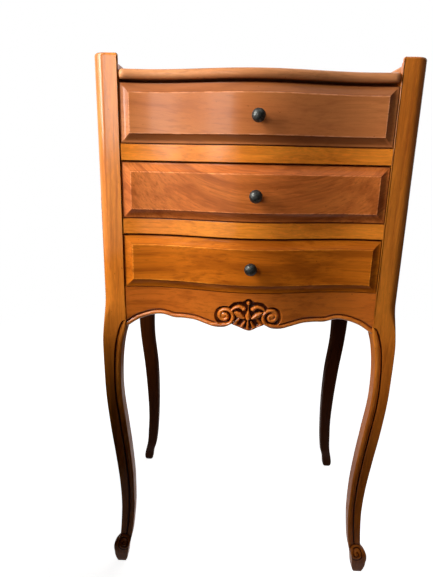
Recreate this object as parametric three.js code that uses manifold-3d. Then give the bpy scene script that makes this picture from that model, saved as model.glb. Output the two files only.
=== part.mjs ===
// Bedside commode chest with three drawers, a serpentine front and cabriole legs.
// Millimetres, +Z up, the front looks along -Y. The origin ends at the bottom centre of the chest.
import * as THREE from 'three';
import { mergeVertices } from 'three/addons/utils/BufferGeometryUtils.js';
import Module from 'manifold-3d';

const wasm = await Module();
wasm.setup();

// Overall sizes
const totalHeight = 720;
const openingWidth = 322.6;
const postSide = 29.5;
const caseDepth = 269;
const postRise = 17;
const topThickness = 13;
const drawerOpening = 69;
const railHeight = 19.7;

// Fits: glued or resting faces, the drawer's running gap and the gap seen round a drawer front
const fit = 0.3;
const runningGap = 0.5;
const frontGap = 0.8;
const overrun = 5;

// Serpentine front: the middle stands bow proud of the hollows, which lie flankSet behind the posts
const bow = 19.5;
const bowReach = 130;
const flankSet = 3;

// Legs: the post ends at legHeight, and legSwing scales the cabriole curve. Above the top board a front
// post's inner side is hollowed out from hollowEdge behind its face
const legHeight = 415;
const legSwing = 12;
const postCornerRadius = 13;
const postTopRadius = 3.5;
const postEdgeRadius = 1.5;
const arrisRadius = 1;
const rearCornerRadius = 3;
const hollowEdge = 3;
const legBeadWidth = 4.3;
const legBeadRadius = 2;
const grooveWidth = 2;
const grooveDepth = 1.5;
const backRoundShare = 0.3;
const heelShare = 0.6;

// Apron: apronDrop is measured at the tip of the shell in the middle
const apronDrop = 49.6;
const apronThickness = 20;
const apronBeadRadius = 2.8;

// Rails, tenons and top
const railDepth = 45;
const tenonLength = 12;
const tenonThickness = 8;
const tenonSet = 8;
const tenonShoulder = 4;
const topOverhang = 5;
const topReturn = 8;

// Side panels and their tongues; the panels stand proud of the top as a low gallery
const panelThickness = 15;
const panelInset = 7.2;
const galleryRise = 14.5;
const tongueThickness = 6;
const tongueLength = 8;
const sideSkirt = 48;
const sideArch = 16;

// Back
const backPanelThickness = 5;
const backPanelInset = 9;
const backGrooveDepth = 6;
const backRailThickness = 15;
const backRailInset = 5;
const galleryRailHeight = 52;
const bottomRailHeight = 30;
const backTenonThickness = 7;

// Drawers
const drawerFrontThickness = 19;
const drawerSideThickness = 9;
const drawerSideDrop = 6;
const drawerBottomThickness = 4;
const drawerBottomRise = 7;
const drawerGrooveDepth = 4;
const drawerHousing = 8;
const drawerRearSpace = 4;
const drawerBackInset = 6;
const bevelWidth = 12;
const fieldRise = 6;
const quirkRise = 0.9;

// Runners and glue blocks
const runnerLedgeWidth = 22;
const runnerLedgeHeight = 10;
const runnerGuideHeight = 14;
const blockLength = 40;
const blockHeight = 14;
const blockSetback = 12;

// Knob and its screw; the knobs are set by hand, each a little across and up from its front's middle
const knobShifts = [0.3, 0.9, -1.7];
const knobLifts = [-3.2, -2.3, 0.3];
const knobRadius = 7.75;
const knobHeight = 17;
const knobNeckRadius = 3.4;
const knobBaseRadius = 5;
const knobEdgeHeight = 10.5;
const screwRadius = 2;
const screwEngagement = 7;
const screwHeadRadius = 4;
const screwHeadHeight = 2.4;

// Levels worked out from the sizes above
const halfOpening = openingWidth / 2;
const halfWidth = halfOpening + postSide;
const topSurface = totalHeight - postRise;
const topUnderside = topSurface - topThickness;
const drawerPitch = drawerOpening + railHeight;
const drawerFloors = [0, 1, 2].map((row) => topUnderside - drawerOpening - row * drawerPitch);
const apronTop = drawerFloors[2];
const rearPostFront = caseDepth - postSide;
const panelInnerX = halfOpening + panelInset;
const backRailFront = caseDepth - backRailInset - backRailThickness;

// Materials
function finish(color, roughness, metalness = 0) {
  return new THREE.MeshStandardMaterial({ color, roughness, metalness });
}

const cherry = finish(0xa85f2a, 0.35);
const cherryField = finish(0xa4562a, 0.32);
const innerWood = finish(0xc9a36b, 0.7);
const plywood = finish(0xb98f5c, 0.75);
const pewter = finish(0x3b3a38, 0.42, 0.8);
const steel = finish(0x9a9a9c, 0.35, 1);

// Facets: steps along the serpentine, samples a span of the leg and apron curves, steps round an edge
const frontSteps = 20;
const legSamples = 2;
const apronSamples = 2;
const noseSteps = 6;
const roundFacets = 10;
const archFacets = 8;
const holeFacets = 16;
const hollowFacets = 32;
const knobFacets = 18;
const domeSteps = 5;

// Plan curve of the front at x
function frontY(x) {
  return flankSet - (bow / 2) * (1 + Math.cos((Math.PI * x) / bowReach));
}

function smooth(value, low, high) {
  return THREE.MathUtils.smoothstep(value, low, high);
}

// Closed solid through rings that have equally many points. Its ends are flat outlines, or fans round
// their middle, or strips between the two long edges of the ring
function loft(rings, ends = 'outline') {
  const count = rings[0].length;
  const points = rings.flat();
  const faces = [];
  for (let ring = 0; ring < rings.length - 1; ring++) {
    for (let i = 0; i < count; i++) {
      const a = ring * count + i;
      const b = ring * count + ((i + 1) % count);
      faces.push(a, b, b + count, a, b + count, a + count);
    }
  }
  for (const [ring, start] of [[rings[0], 0], [rings.at(-1), points.length - count]]) {
    const first = start === 0;
    if (ends === 'strip') {
      for (let i = 0; i < count / 2 - 1; i++) {
        const corners = [i, i + 1, count - 2 - i, count - 1 - i].map((index) => start + index);
        const [a, b, c, d] = first ? corners.reverse() : corners;
        faces.push(a, b, c, a, c, d);
      }
    } else if (ends === 'fan') {
      const middle = new THREE.Vector3();
      ring.forEach((point) => middle.addScaledVector(point, 1 / count));
      points.push(middle);
      for (let i = 0; i < count; i++) {
        const pair = [start + i, start + ((i + 1) % count)];
        faces.push(points.length - 1, ...(first ? pair.reverse() : pair));
      }
    } else {
      faces.push(...capFaces(ring, start, first));
    }
  }
  return closedGeometry(points, faces);
}

// Triangles of a flat end ring, wound like the ring or against it
function capFaces(ring, start, against) {
  const size = new THREE.Box3().setFromPoints(ring).getSize(new THREE.Vector3());
  const flat = ring.map((point) => {
    if (size.z < Math.min(size.x, size.y)) return new THREE.Vector2(point.x, point.y);
    if (size.x < size.y) return new THREE.Vector2(point.y, point.z);
    return new THREE.Vector2(point.z, point.x);
  });
  const turn = Math.sign(THREE.ShapeUtils.area(flat));
  const faces = [];
  for (const [a, b, c] of THREE.ShapeUtils.triangulateShape(flat, [])) {
    const same = Math.sign(THREE.ShapeUtils.area([flat[a], flat[b], flat[c]])) === turn;
    faces.push(...(same !== against ? [a, b, c] : [a, c, b]).map((index) => start + index));
  }
  return faces;
}

// Geometry of points and faces, turned so that its volume is positive
function closedGeometry(points, faces) {
  let volume = 0;
  for (let i = 0; i < faces.length; i += 3) {
    const [a, b, c] = [points[faces[i]], points[faces[i + 1]], points[faces[i + 2]]];
    volume += a.dot(b.clone().cross(c));
  }
  const geometry = new THREE.BufferGeometry();
  const coordinates = points.flatMap((point) => point.toArray());
  geometry.setAttribute('position', new THREE.Float32BufferAttribute(coordinates, 3));
  geometry.setIndex(volume < 0 ? faces.reverse() : faces);
  return geometry;
}

// Box between two corners
function block(low, high) {
  const size = high.map((value, axis) => value - low[axis]);
  const geometry = new THREE.BoxGeometry(...size);
  return geometry.translate(...low.map((value, axis) => value + size[axis] / 2));
}

// Solid for joining and cutting
function solid(geometry) {
  const bare = geometry.clone();
  bare.deleteAttribute('normal');
  bare.deleteAttribute('uv');
  const merged = mergeVertices(bare);
  return new wasm.Manifold(new wasm.Mesh({
    numProp: 3,
    vertProperties: new Float32Array(merged.attributes.position.array),
    triVerts: new Uint32Array(merged.index.array),
  }));
}

function shape(manifold) {
  const mesh = manifold.getMesh();
  const geometry = new THREE.BufferGeometry();
  geometry.setAttribute('position', new THREE.Float32BufferAttribute(mesh.vertProperties, 3));
  geometry.setIndex(Array.from(mesh.triVerts));
  return geometry;
}

// Geometry with others joined on and others cut away
function build(geometry, joined, cut) {
  let result = solid(geometry);
  for (const piece of joined) {
    result = result.add(solid(piece));
  }
  for (const piece of cut) {
    result = result.subtract(solid(piece));
  }
  return shape(result);
}

const chest = new THREE.Group();

function place(name, geometry, material, position = [0, 0, 0]) {
  geometry.computeVertexNormals();
  const mesh = new THREE.Mesh(geometry, material.clone());
  mesh.name = name;
  mesh.position.set(...position);
  chest.add(mesh);
  return mesh;
}

// A piece on the right side and its mirror image on the left
function placePair(rightName, leftName, geometry, material) {
  place(rightName, geometry, material);
  place(leftName, geometry, material).scale.x = -1;
}

// Cabriole curve: share of the leg's height, then how far the outer arris and the inner corner
// stand out from the post's outer and inner corners, as shares of the swing
const frontLegShares = [
  [0, -0.25, 1.28], [0.012, -0.13, 1.13], [0.029, 0, 1], [0.048, 0.14, 0.92], [0.067, 0.18, 0.8],
  [0.087, 0.13, 0.63], [0.101, -0.13, 0.52], [0.111, -0.55, 0.42], [0.125, -0.7, 0.33],
  [0.169, -0.85, 0.17], [0.241, -0.95, 0], [0.337, -0.85, -0.02], [0.458, -0.54, 0.17],
  [0.578, -0.17, 0.48], [0.699, 0.13, 0.8], [0.795, 0.21, 0.77], [0.855, 0.22, 0.6],
  [0.896, 0.2, 0.38], [0.925, 0.13, 0.13], [0.945, 0.07, 0.02], [0.969, 0.03, 0], [1, 0, 0],
];
const rearLegShares = [
  [0, 0.05, 1.47], [0.014, 0.07, 1.25], [0.039, 0, 1.2], [0.062, -0.28, 0.85], [0.084, -0.5, 0.55],
  [0.169, -0.79, 0.23], [0.265, -0.95, -0.08], [0.386, -0.84, -0.2], [0.53, -0.43, 0],
  [0.675, 0.25, 0.62], [0.795, 0.45, 0.6], [0.896, 0.25, 0.2], [0.952, 0.08, 0.02], [1, 0, 0],
];

// Heights, in shares of the leg, over which the corner turns crisp, the bead starts and ends, and
// the toe's heel is cut back
const cornerShares = [0.935, 1.035];
const beadTopShares = [0.925, 0.95];
const beadFootShares = [0.1, 0.12];
const heelShares = [0.1, 0.14];

// Steps up the rounding at a post's top
const topRoundShares = [0.5, 1];

function legStations(shares) {
  const curve = new THREE.CatmullRomCurve3(
    shares.map(([height, outer, inner]) =>
      new THREE.Vector3(height * legHeight, outer * legSwing, inner * legSwing)),
    false,
    'centripetal',
  );
  const count = (shares.length - 1) * legSamples;
  const stations = curve.getPoints(count).map(({ x, y, z }) => ({ height: x, outer: y, inner: z }));
  const posts = [legHeight * cornerShares[1], totalHeight - postTopRadius];
  return stations.concat(posts.map((height) => ({ height, outer: 0, inner: 0 })));
}

// Quarter round of a section, as distances in from the outer face and back from the front face
function quarter(centreIn, centreBack, radius, startTurn, steps) {
  const points = [];
  for (let i = 0; i <= steps; i++) {
    const angle = (startTurn + i / steps) * (Math.PI / 2);
    points.push([centreIn - radius * Math.cos(angle), centreBack - radius * Math.sin(angle)]);
  }
  return points;
}

// Front leg's section, from the outer side round by the front, the bead and the back
function frontLegSection(height, outer, inner, slope) {
  const share = height / legHeight;
  const side = postSide + outer - inner;
  const round = smooth(share, ...cornerShares);
  const corner = arrisRadius + (postCornerRadius - arrisRadius + Math.min(0, outer)) * round;
  const beaded = smooth(share, ...beadFootShares) * (1 - smooth(share, ...beadTopShares));
  const onLeg = 1 - smooth(share, ...beadTopShares);
  const bead = postEdgeRadius + (legBeadRadius - postEdgeRadius) * beaded;
  const back = postEdgeRadius + (backRoundShare * side - postEdgeRadius) * onLeg;
  const heel = postEdgeRadius + (heelShare * side - postEdgeRadius) * (1 - smooth(share, ...heelShares));
  const grooveIn = side - legBeadWidth * slope;
  return [
    ...quarter(corner, corner, corner, 0, 5),
    [grooveIn - grooveWidth, 0],
    [grooveIn - grooveWidth / 2, grooveDepth * beaded],
    [grooveIn, 0],
    ...quarter(side - bead, bead, bead, 1, 2),
    ...quarter(side - back, side - back, back, 2, 2),
    ...quarter(heel, side - heel, heel, 3, 2),
  ];
}

// Rear leg's section, with the wall side first
function rearLegSection(height, outer, inner) {
  const share = height / legHeight;
  const side = postSide + outer - inner;
  const onLeg = 1 - smooth(share, ...cornerShares);
  const round = postEdgeRadius + (backRoundShare * side - postEdgeRadius) * onLeg;
  return [
    ...quarter(rearCornerRadius, rearCornerRadius, rearCornerRadius, 0, 3),
    ...quarter(side - round, round, round, 1, 2),
    ...quarter(side - round, side - round, round, 2, 2),
    ...quarter(round, side - round, round, 3, 2),
  ];
}

// Rings of a right-hand leg with its post; front legs face -Y and rear legs face +Y
function legRings(shares, section, rear) {
  const stations = legStations(shares);
  const ring = ({ height, outer, inner }, slope) =>
    section(height, outer, inner, slope).map(([across, back]) => {
      const depth = rear ? caseDepth + outer - back : back - outer;
      return new THREE.Vector3(halfWidth + outer - across, depth, height);
    });
  const rings = stations.map((station, i) => {
    const below = stations[Math.max(0, i - 1)];
    const above = stations[Math.min(stations.length - 1, i + 1)];
    const lean = (above.inner - below.inner) / (above.height - below.height);
    return ring(station, Math.hypot(1, lean));
  });
  for (const share of topRoundShares) {
    const inset = postTopRadius * (1 - Math.sqrt(1 - share * share));
    const height = totalHeight - postTopRadius * (1 - share);
    rings.push(ring({ height, outer: -inset, inner: inset }, 1));
  }
  return rings;
}

// Tenon at a rail's or apron's right end, and the mortise that takes it
function tenon(bottom, top, clearance) {
  const end = halfOpening + tenonLength;
  const back = tenonSet + tenonThickness;
  return block(
    [halfOpening - overrun, tenonSet - clearance, bottom + tenonShoulder - clearance],
    [end + clearance, back + clearance, top - tenonShoulder + clearance],
  );
}

function mirrored(geometry) {
  const copy = geometry.clone().scale(-1, 1, 1);
  copy.setIndex(Array.from(copy.index.array).reverse());
  return copy;
}

const railLevels = drawerFloors.slice(0, 2).map((floor) => [floor - railHeight, floor]);
const apronTenonLevel = [apronTop - apronDrop / 2 - tenonShoulder, apronTop];
const tongueBottom = apronTop - sideSkirt / 2;
const tongueTop = topSurface - topThickness / 2;

// Tongue of a side panel, and the groove that takes it, at y in the post's face
function sideTongue(faceY, direction, clearance) {
  const middle = panelInnerX + panelThickness / 2;
  const ends = [faceY - direction * overrun, faceY + direction * (tongueLength + clearance)];
  return block(
    [middle - tongueThickness / 2 - clearance, Math.min(...ends), tongueBottom - clearance],
    [middle + tongueThickness / 2 + clearance, Math.max(...ends), tongueTop + clearance],
  );
}

// Hollow on the inner side of a front post, from the top board up, which ends in the gallery's face
function postHollow() {
  const height = postRise + overrun;
  const hollow = new THREE.CylinderGeometry(1, 1, height, hollowFacets);
  hollow.rotateX(Math.PI / 2).scale(panelInset, postSide - hollowEdge, 1);
  return hollow.translate(halfOpening, postSide, topSurface + height / 2);
}

const frontLeg = build(
  loft(legRings(frontLegShares, frontLegSection, false), 'fan'),
  [],
  [
    postHollow(),
    ...railLevels.map(([bottom, top]) => tenon(bottom, top, fit)),
    tenon(...apronTenonLevel, fit),
    sideTongue(postSide, -1, fit),
  ],
);
placePair('front_right_leg', 'front_left_leg', frontLeg, cherry);

// Back rail tenons share one place, and the plywood back slides in a groove of the rear posts
const backTenonY = backRailFront + (backRailThickness - backTenonThickness) / 2;
const galleryLevel = [topSurface + galleryRise - galleryRailHeight, topSurface + galleryRise];
const bottomRailLevel = [apronTop - bottomRailHeight, apronTop];

function backTenon([bottom, top], clearance) {
  const shoulder = backGrooveDepth + tenonShoulder;
  const end = halfOpening + tenonLength;
  const back = backTenonY + backTenonThickness;
  return block(
    [halfOpening - overrun, backTenonY - clearance, bottom + shoulder - clearance],
    [end + clearance, back + clearance, top - shoulder + clearance],
  );
}

const backPanelFront = caseDepth - backPanelInset - backPanelThickness;
const backPanelBottom = bottomRailLevel[1] - backGrooveDepth;
const backPanelTop = galleryLevel[0] + backGrooveDepth;

function backSheet(clearance) {
  const reach = halfOpening + backGrooveDepth - fit + clearance;
  return block(
    [-reach, backPanelFront - clearance, backPanelBottom + fit - clearance],
    [reach, backPanelFront + backPanelThickness + clearance, backPanelTop - fit + clearance],
  );
}

const rearLeg = build(
  loft(legRings(rearLegShares, rearLegSection, true), 'fan'),
  [],
  [
    backTenon(galleryLevel, fit),
    backTenon(bottomRailLevel, fit),
    backSheet(fit),
    sideTongue(rearPostFront, 1, fit),
  ],
);
placePair('rear_right_leg', 'rear_left_leg', rearLeg, cherry);

// Side panel: an arched skirt below, a rounded top edge that stands proud of the top board
const archPullShares = [1 / 3, 1 / 2];

function sidePanel() {
  const front = postSide + fit;
  const rear = rearPostFront - fit;
  const middle = (front + rear) / 2;
  const [low, high] = archPullShares.map((share) => (middle - front) * share);
  const skirt = apronTop - sideSkirt;
  const arch = skirt + sideArch;
  const top = topSurface + galleryRise;
  const outline = new THREE.Shape();
  outline.moveTo(front, skirt);
  outline.bezierCurveTo(front + low, skirt, middle - high, arch, middle, arch);
  outline.bezierCurveTo(middle + high, arch, rear - low, skirt, rear, skirt);
  outline.lineTo(rear, top);
  outline.lineTo(front, top);
  outline.closePath();
  const board = new THREE.ExtrudeGeometry(outline, {
    depth: panelThickness,
    bevelEnabled: false,
    curveSegments: archFacets,
  });
  board.rotateX(Math.PI / 2).rotateZ(Math.PI / 2).translate(panelInnerX, 0, 0);
  const radius = panelThickness / 2;
  const rounded = new THREE.Shape();
  rounded.moveTo(panelInnerX - fit, skirt - overrun);
  rounded.lineTo(panelInnerX + panelThickness + fit, skirt - overrun);
  rounded.lineTo(panelInnerX + panelThickness + fit, top - radius);
  rounded.absellipse(panelInnerX + radius, top - radius, radius + fit, radius, 0, Math.PI, false, 0);
  rounded.closePath();
  const bar = new THREE.ExtrudeGeometry(rounded, {
    depth: caseDepth,
    bevelEnabled: false,
    curveSegments: roundFacets,
  });
  bar.rotateX(Math.PI / 2).translate(0, caseDepth, 0);
  const body = shape(solid(board).intersect(solid(bar)));
  return build(body, [sideTongue(postSide, -1, 0), sideTongue(rearPostFront, 1, 0)], []);
}
placePair('right_side_panel', 'left_side_panel', sidePanel(), cherry);

// X places along the serpentine, close enough together for a fair curve
function serpentineStations(half) {
  return Array.from({ length: frontSteps + 1 }, (_, i) => half * ((2 * i) / frontSteps - 1));
}

// Rail between two drawers: serpentine in front, straight behind, with a tenon at each end
function drawerRail([bottom, top]) {
  const rings = serpentineStations(halfOpening - fit).map((x) => [
    new THREE.Vector3(x, railDepth, bottom),
    new THREE.Vector3(x, frontY(x), bottom),
    new THREE.Vector3(x, frontY(x), top),
    new THREE.Vector3(x, railDepth, top),
  ]);
  const end = tenon(bottom, top, 0);
  return build(loft(rings), [end, mirrored(end)], []);
}
place('upper_drawer_rail', drawerRail(railLevels[0]), cherry);
place('lower_drawer_rail', drawerRail(railLevels[1]), cherry);

// Lower edge of the apron from the middle to the post: share of the half opening, share of the drop
const apronEdgeShares = [
  [0, 1], [0.08, 0.889], [0.13, 0.847], [0.19, 0.913], [0.27, 0.931], [0.34, 0.887], [0.435, 0.82],
  [0.53, 0.81], [0.61, 0.814], [0.7, 0.748], [0.78, 0.768], [0.893, 0.889], [0.973, 1.05], [1, 1.11],
];

function apronEdge() {
  const half = apronEdgeShares.map(([across, drop]) =>
    new THREE.Vector2(across * (halfOpening - fit), apronTop - drop * apronDrop));
  const left = half.slice(1).reverse().map((point) => new THREE.Vector2(-point.x, point.y));
  const curve = new THREE.SplineCurve([...left, ...half]);
  return curve.getPoints((left.length + half.length - 1) * apronSamples);
}

// Apron: a bead runs along the scalloped edge with a groove above it. Its section is drawn at these
// shares of a half turn
const beadTurnShares = [-0.5, -0.25, 0, 0.25];

function apron() {
  const edge = apronEdge();
  const rings = edge.map((point, i) => {
    const before = edge[Math.max(0, i - 1)];
    const after = edge[Math.min(edge.length - 1, i + 1)];
    const slope = Math.hypot(1, (after.y - before.y) / (after.x - before.x));
    const front = frontY(point.x);
    const bead = beadTurnShares.map((share) => {
      const angle = share * Math.PI;
      return [
        front + apronBeadRadius * (1 - Math.cos(angle)),
        point.y + apronBeadRadius * (1 + Math.sin(angle)) * slope,
      ];
    });
    const grooveFoot = point.y + 2 * apronBeadRadius * slope;
    return [
      [apronThickness, point.y],
      ...bead,
      [front + grooveDepth, grooveFoot],
      [front + grooveDepth, grooveFoot + (grooveWidth / 2) * slope],
      [front, grooveFoot + grooveWidth * slope],
      [front, apronTop],
      [apronThickness, apronTop],
    ].map(([y, z]) => new THREE.Vector3(point.x, y, z));
  });
  const end = tenon(...apronTenonLevel, 0);
  return build(loft(rings), [end, mirrored(end)], []);
}
place('front_apron', apron(), cherry);

// Top board: bullnose front edge that turns back at the posts, and wings behind the front posts
const topReturnShares = [1, 0.75, 0.35];

function topPanel() {
  const half = halfOpening - fit;
  const radius = topThickness / 2;
  const returns = topReturnShares.map((share) => half - topReturn * (1 - share));
  const inner = serpentineStations(half - topReturn);
  const places = [...returns.map((x) => -x), ...inner, ...returns.slice().reverse()];
  const rings = places.map((x) => {
    const turn = Math.max(0, (Math.abs(x) - (half - topReturn)) / topReturn);
    const edge = frontY(x) - topOverhang + topReturn * (1 - Math.sqrt(1 - turn * turn));
    const nose = Array.from({ length: noseSteps + 1 }, (_, step) => {
      const angle = (step / noseSteps) * Math.PI;
      return [edge + radius * (1 - Math.sin(angle)), topUnderside + radius * (1 - Math.cos(angle))];
    });
    return [
      [backRailFront - fit, topUnderside],
      ...nose,
      [backRailFront - fit, topSurface],
    ].map(([y, z]) => new THREE.Vector3(x, y, z));
  });
  const wing = block(
    [half - overrun, postSide + fit, topUnderside],
    [panelInnerX - fit, rearPostFront - fit, topSurface],
  );
  return build(loft(rings), [wing, mirrored(wing)], []);
}
place('top_panel', topPanel(), cherry);

// Board across the back, extruded from its section; a round top shows above the top board
function backRail([bottom, top], roundTop) {
  const radius = backRailThickness / 2;
  const section = new THREE.Shape();
  section.moveTo(backRailFront, bottom);
  section.lineTo(backRailFront + backRailThickness, bottom);
  if (roundTop) {
    section.lineTo(backRailFront + backRailThickness, top - radius);
    section.absarc(backRailFront + radius, top - radius, radius, 0, Math.PI, false);
  } else {
    section.lineTo(backRailFront + backRailThickness, top);
    section.lineTo(backRailFront, top);
  }
  section.closePath();
  const reach = halfOpening - fit;
  const board = new THREE.ExtrudeGeometry(section, {
    depth: 2 * reach,
    bevelEnabled: false,
    curveSegments: roundFacets,
  });
  board.rotateX(Math.PI / 2).rotateZ(Math.PI / 2).translate(-reach, 0, 0);
  const end = backTenon([bottom, top], 0);
  return build(board, [end, mirrored(end)], [backSheet(fit)]);
}
place('back_gallery_rail', backRail(galleryLevel, true), cherry);
place('back_bottom_rail', backRail(bottomRailLevel, false), cherry);
place('back_panel', backSheet(0), plywood);

// Runner: a ledge under the drawer's side and a guide beside it, glued along the side panel
const drawerHalf = halfOpening - frontGap;

function runner(floor) {
  const outer = panelInnerX - fit;
  const guide = drawerHalf + runningGap;
  const section = new THREE.Shape();
  section.moveTo(outer - runnerLedgeWidth, floor - runnerLedgeHeight);
  section.lineTo(outer, floor - runnerLedgeHeight);
  section.lineTo(outer, floor + runnerGuideHeight);
  section.lineTo(guide, floor + runnerGuideHeight);
  section.lineTo(guide, floor);
  section.lineTo(outer - runnerLedgeWidth, floor);
  section.closePath();
  const length = rearPostFront - fit - (railDepth + fit);
  const geometry = new THREE.ExtrudeGeometry(section, { depth: length, bevelEnabled: false });
  return geometry.rotateX(Math.PI / 2).translate(0, rearPostFront - fit, 0);
}

const rows = ['upper', 'middle', 'lower'];
rows.forEach((row, i) => {
  placePair(`${row}_right_runner`, `${row}_left_runner`, runner(drawerFloors[i]), innerWood);
});

// Glue blocks in the corners between the top board and the side panels
function glueBlock(start) {
  return block(
    [halfOpening + fit, start, topUnderside - blockHeight],
    [panelInnerX - fit, start + blockLength, topUnderside - fit],
  );
}
placePair('front_right_glue_block', 'front_left_glue_block', glueBlock(postSide + blockSetback), innerWood);
placePair('rear_right_glue_block', 'rear_left_glue_block',
  glueBlock(rearPostFront - blockSetback - blockLength), innerWood);

// Drawers, described above their floor level
const drawerFrontBottom = runningGap;
const drawerFrontTop = drawerOpening - frontGap;
const knobLevel = (drawerFrontBottom + drawerFrontTop) / 2;
const drawerSideTop = drawerFrontTop - drawerSideDrop;
const drawerInnerHalf = drawerHalf - drawerSideThickness;
const drawerRear = backRailFront - drawerRearSpace;
const drawerBoardRear = drawerRear - drawerBackInset;
const drawerBackFront = drawerBoardRear - drawerSideThickness;
const bottomLevel = fit + drawerBottomRise;
const bottomTop = bottomLevel + drawerBottomThickness;
const backHousing = drawerSideThickness / 3;

// Sunk bevel of a drawer front: share of the bevel's width, share of its rise
const bevelShares = [[0, 0], [0.34, 0.17], [0.67, 0.48], [1, 1]];

function drawerFront(shift, lift) {
  const outline = (inset, depthAt) => {
    const across = serpentineStations(drawerHalf - inset);
    const low = across.map((x) => new THREE.Vector3(x, depthAt(x), drawerFrontBottom + inset));
    const high = across.map((x) => new THREE.Vector3(x, depthAt(x), drawerFrontTop - inset));
    return [...low, ...high.reverse()];
  };
  const rings = [
    outline(0, () => drawerFrontThickness),
    ...bevelShares.map(([width, rise]) =>
      outline(width * bevelWidth, (x) => frontY(x) - rise * (fieldRise - quirkRise))),
    outline(bevelWidth + quirkRise / 2, (x) => frontY(x) - fieldRise),
  ];
  const rabbet = block(
    [drawerInnerHalf - fit, drawerFrontThickness - drawerHousing, drawerFrontBottom - overrun],
    [drawerHalf + overrun, drawerFrontThickness + overrun, drawerSideTop + fit],
  );
  const groove = block(
    [-drawerHalf, drawerFrontThickness - drawerGrooveDepth - fit, bottomLevel - fit],
    [drawerHalf, drawerFrontThickness + overrun, bottomTop + fit],
  );
  const radius = screwRadius + fit;
  const length = 2 * (overrun + bow + drawerFrontThickness);
  const hole = new THREE.CylinderGeometry(radius, radius, length, holeFacets);
  hole.translate(shift, 0, knobLevel + lift);
  return build(loft(rings, 'strip'), [], [rabbet, mirrored(rabbet), groove, hole]);
}

function drawerSide() {
  const board = block(
    [drawerInnerHalf, drawerFrontThickness - drawerHousing + fit, fit],
    [drawerHalf, drawerRear, drawerSideTop],
  );
  const groove = block(
    [drawerInnerHalf - overrun, 0, bottomLevel - fit],
    [drawerInnerHalf + drawerGrooveDepth + fit, drawerRear + overrun, bottomTop + fit],
  );
  const housing = block(
    [drawerInnerHalf - overrun, drawerBackFront - fit, bottomTop],
    [drawerInnerHalf + backHousing, drawerBoardRear + fit, drawerSideTop + overrun],
  );
  return build(board, [], [groove, housing]);
}

function drawerBack() {
  const reach = drawerInnerHalf + backHousing - fit;
  return block([-reach, drawerBackFront, bottomTop + fit], [reach, drawerBoardRear, drawerSideTop]);
}

function drawerBottom() {
  const reach = drawerInnerHalf + drawerGrooveDepth;
  const front = drawerFrontThickness - drawerGrooveDepth;
  return block([-reach, front, bottomLevel], [reach, drawerBoardRear, bottomTop]);
}

// Knob with a flared foot, a neck and a low dome, bored for its screw; it points along -Y. Below the
// dome its shares are of the height, and the last one is of the radius under the dome's edge
const knobFootShare = 0.06;
const knobNeckShares = [0.18, 0.42];
const knobUnderShares = [0.54, 0.8];

function knob() {
  const dome = Array.from({ length: domeSteps }, (_, step) => {
    const angle = (step / domeSteps) * (Math.PI / 2);
    return [knobRadius * Math.cos(angle), knobEdgeHeight + (knobHeight - knobEdgeHeight) * Math.sin(angle)];
  });
  const [neckFoot, neckTop] = knobNeckShares;
  const [underHeight, underRadius] = knobUnderShares;
  const profile = [
    [0, screwEngagement + fit],
    [screwRadius + fit, screwEngagement + fit],
    [screwRadius + fit, 0],
    [knobBaseRadius, 0],
    [knobBaseRadius, knobHeight * knobFootShare],
    [knobNeckRadius, knobHeight * neckFoot],
    [knobNeckRadius, knobHeight * neckTop],
    [knobRadius * underRadius, knobHeight * underHeight],
    ...dome,
    [0, knobHeight],
  ].map(([radius, height]) => new THREE.Vector2(radius, height));
  return shape(solid(new THREE.LatheGeometry(profile, knobFacets).rotateX(Math.PI)));
}

// Pan head of a screw: radius at its crown, height of its rim
const panHeadShares = [0.7, 0.4];

// Screw from inside the drawer front into the knob
function knobScrew(knobBack) {
  const length = drawerFrontThickness + fit - knobBack + screwEngagement;
  const [crown, rim] = panHeadShares;
  const profile = [
    [0, -screwHeadHeight],
    [screwHeadRadius * crown, -screwHeadHeight],
    [screwHeadRadius, -screwHeadHeight * rim],
    [screwHeadRadius, 0],
    [screwRadius, 0],
    [screwRadius, length],
    [0, length],
  ].map(([radius, height]) => new THREE.Vector2(radius, height));
  return shape(solid(new THREE.LatheGeometry(profile, holeFacets).rotateX(Math.PI)));
}

rows.forEach((row, i) => {
  const [shift, lift, floor] = [knobShifts[i], knobLifts[i], drawerFloors[i]];
  const seat = [0, 0, floor];
  const knobBack = frontY(shift) - fieldRise - fit;
  const centre = floor + knobLevel + lift;
  place(`${row}_drawer_front`, drawerFront(shift, lift), cherryField, seat);
  place(`${row}_drawer_right_side`, drawerSide(), innerWood, seat);
  place(`${row}_drawer_left_side`, drawerSide(), innerWood, seat).scale.x = -1;
  place(`${row}_drawer_back`, drawerBack(), innerWood, seat);
  place(`${row}_drawer_bottom`, drawerBottom(), plywood, seat);
  place(`${row}_knob`, knob(), pewter, [shift, knobBack, centre]);
  place(`${row}_knob_screw`, knobScrew(knobBack), steel, [shift, drawerFrontThickness + fit, centre]);
});

// The origin goes to the bottom centre of the whole chest
const bounds = new THREE.Box3().setFromObject(chest);
chest.position.y = -(bounds.min.y + bounds.max.y) / 2;

export default chest;
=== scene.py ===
import math

import bpy
import numpy as np
from mathutils import Matrix, Vector

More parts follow.
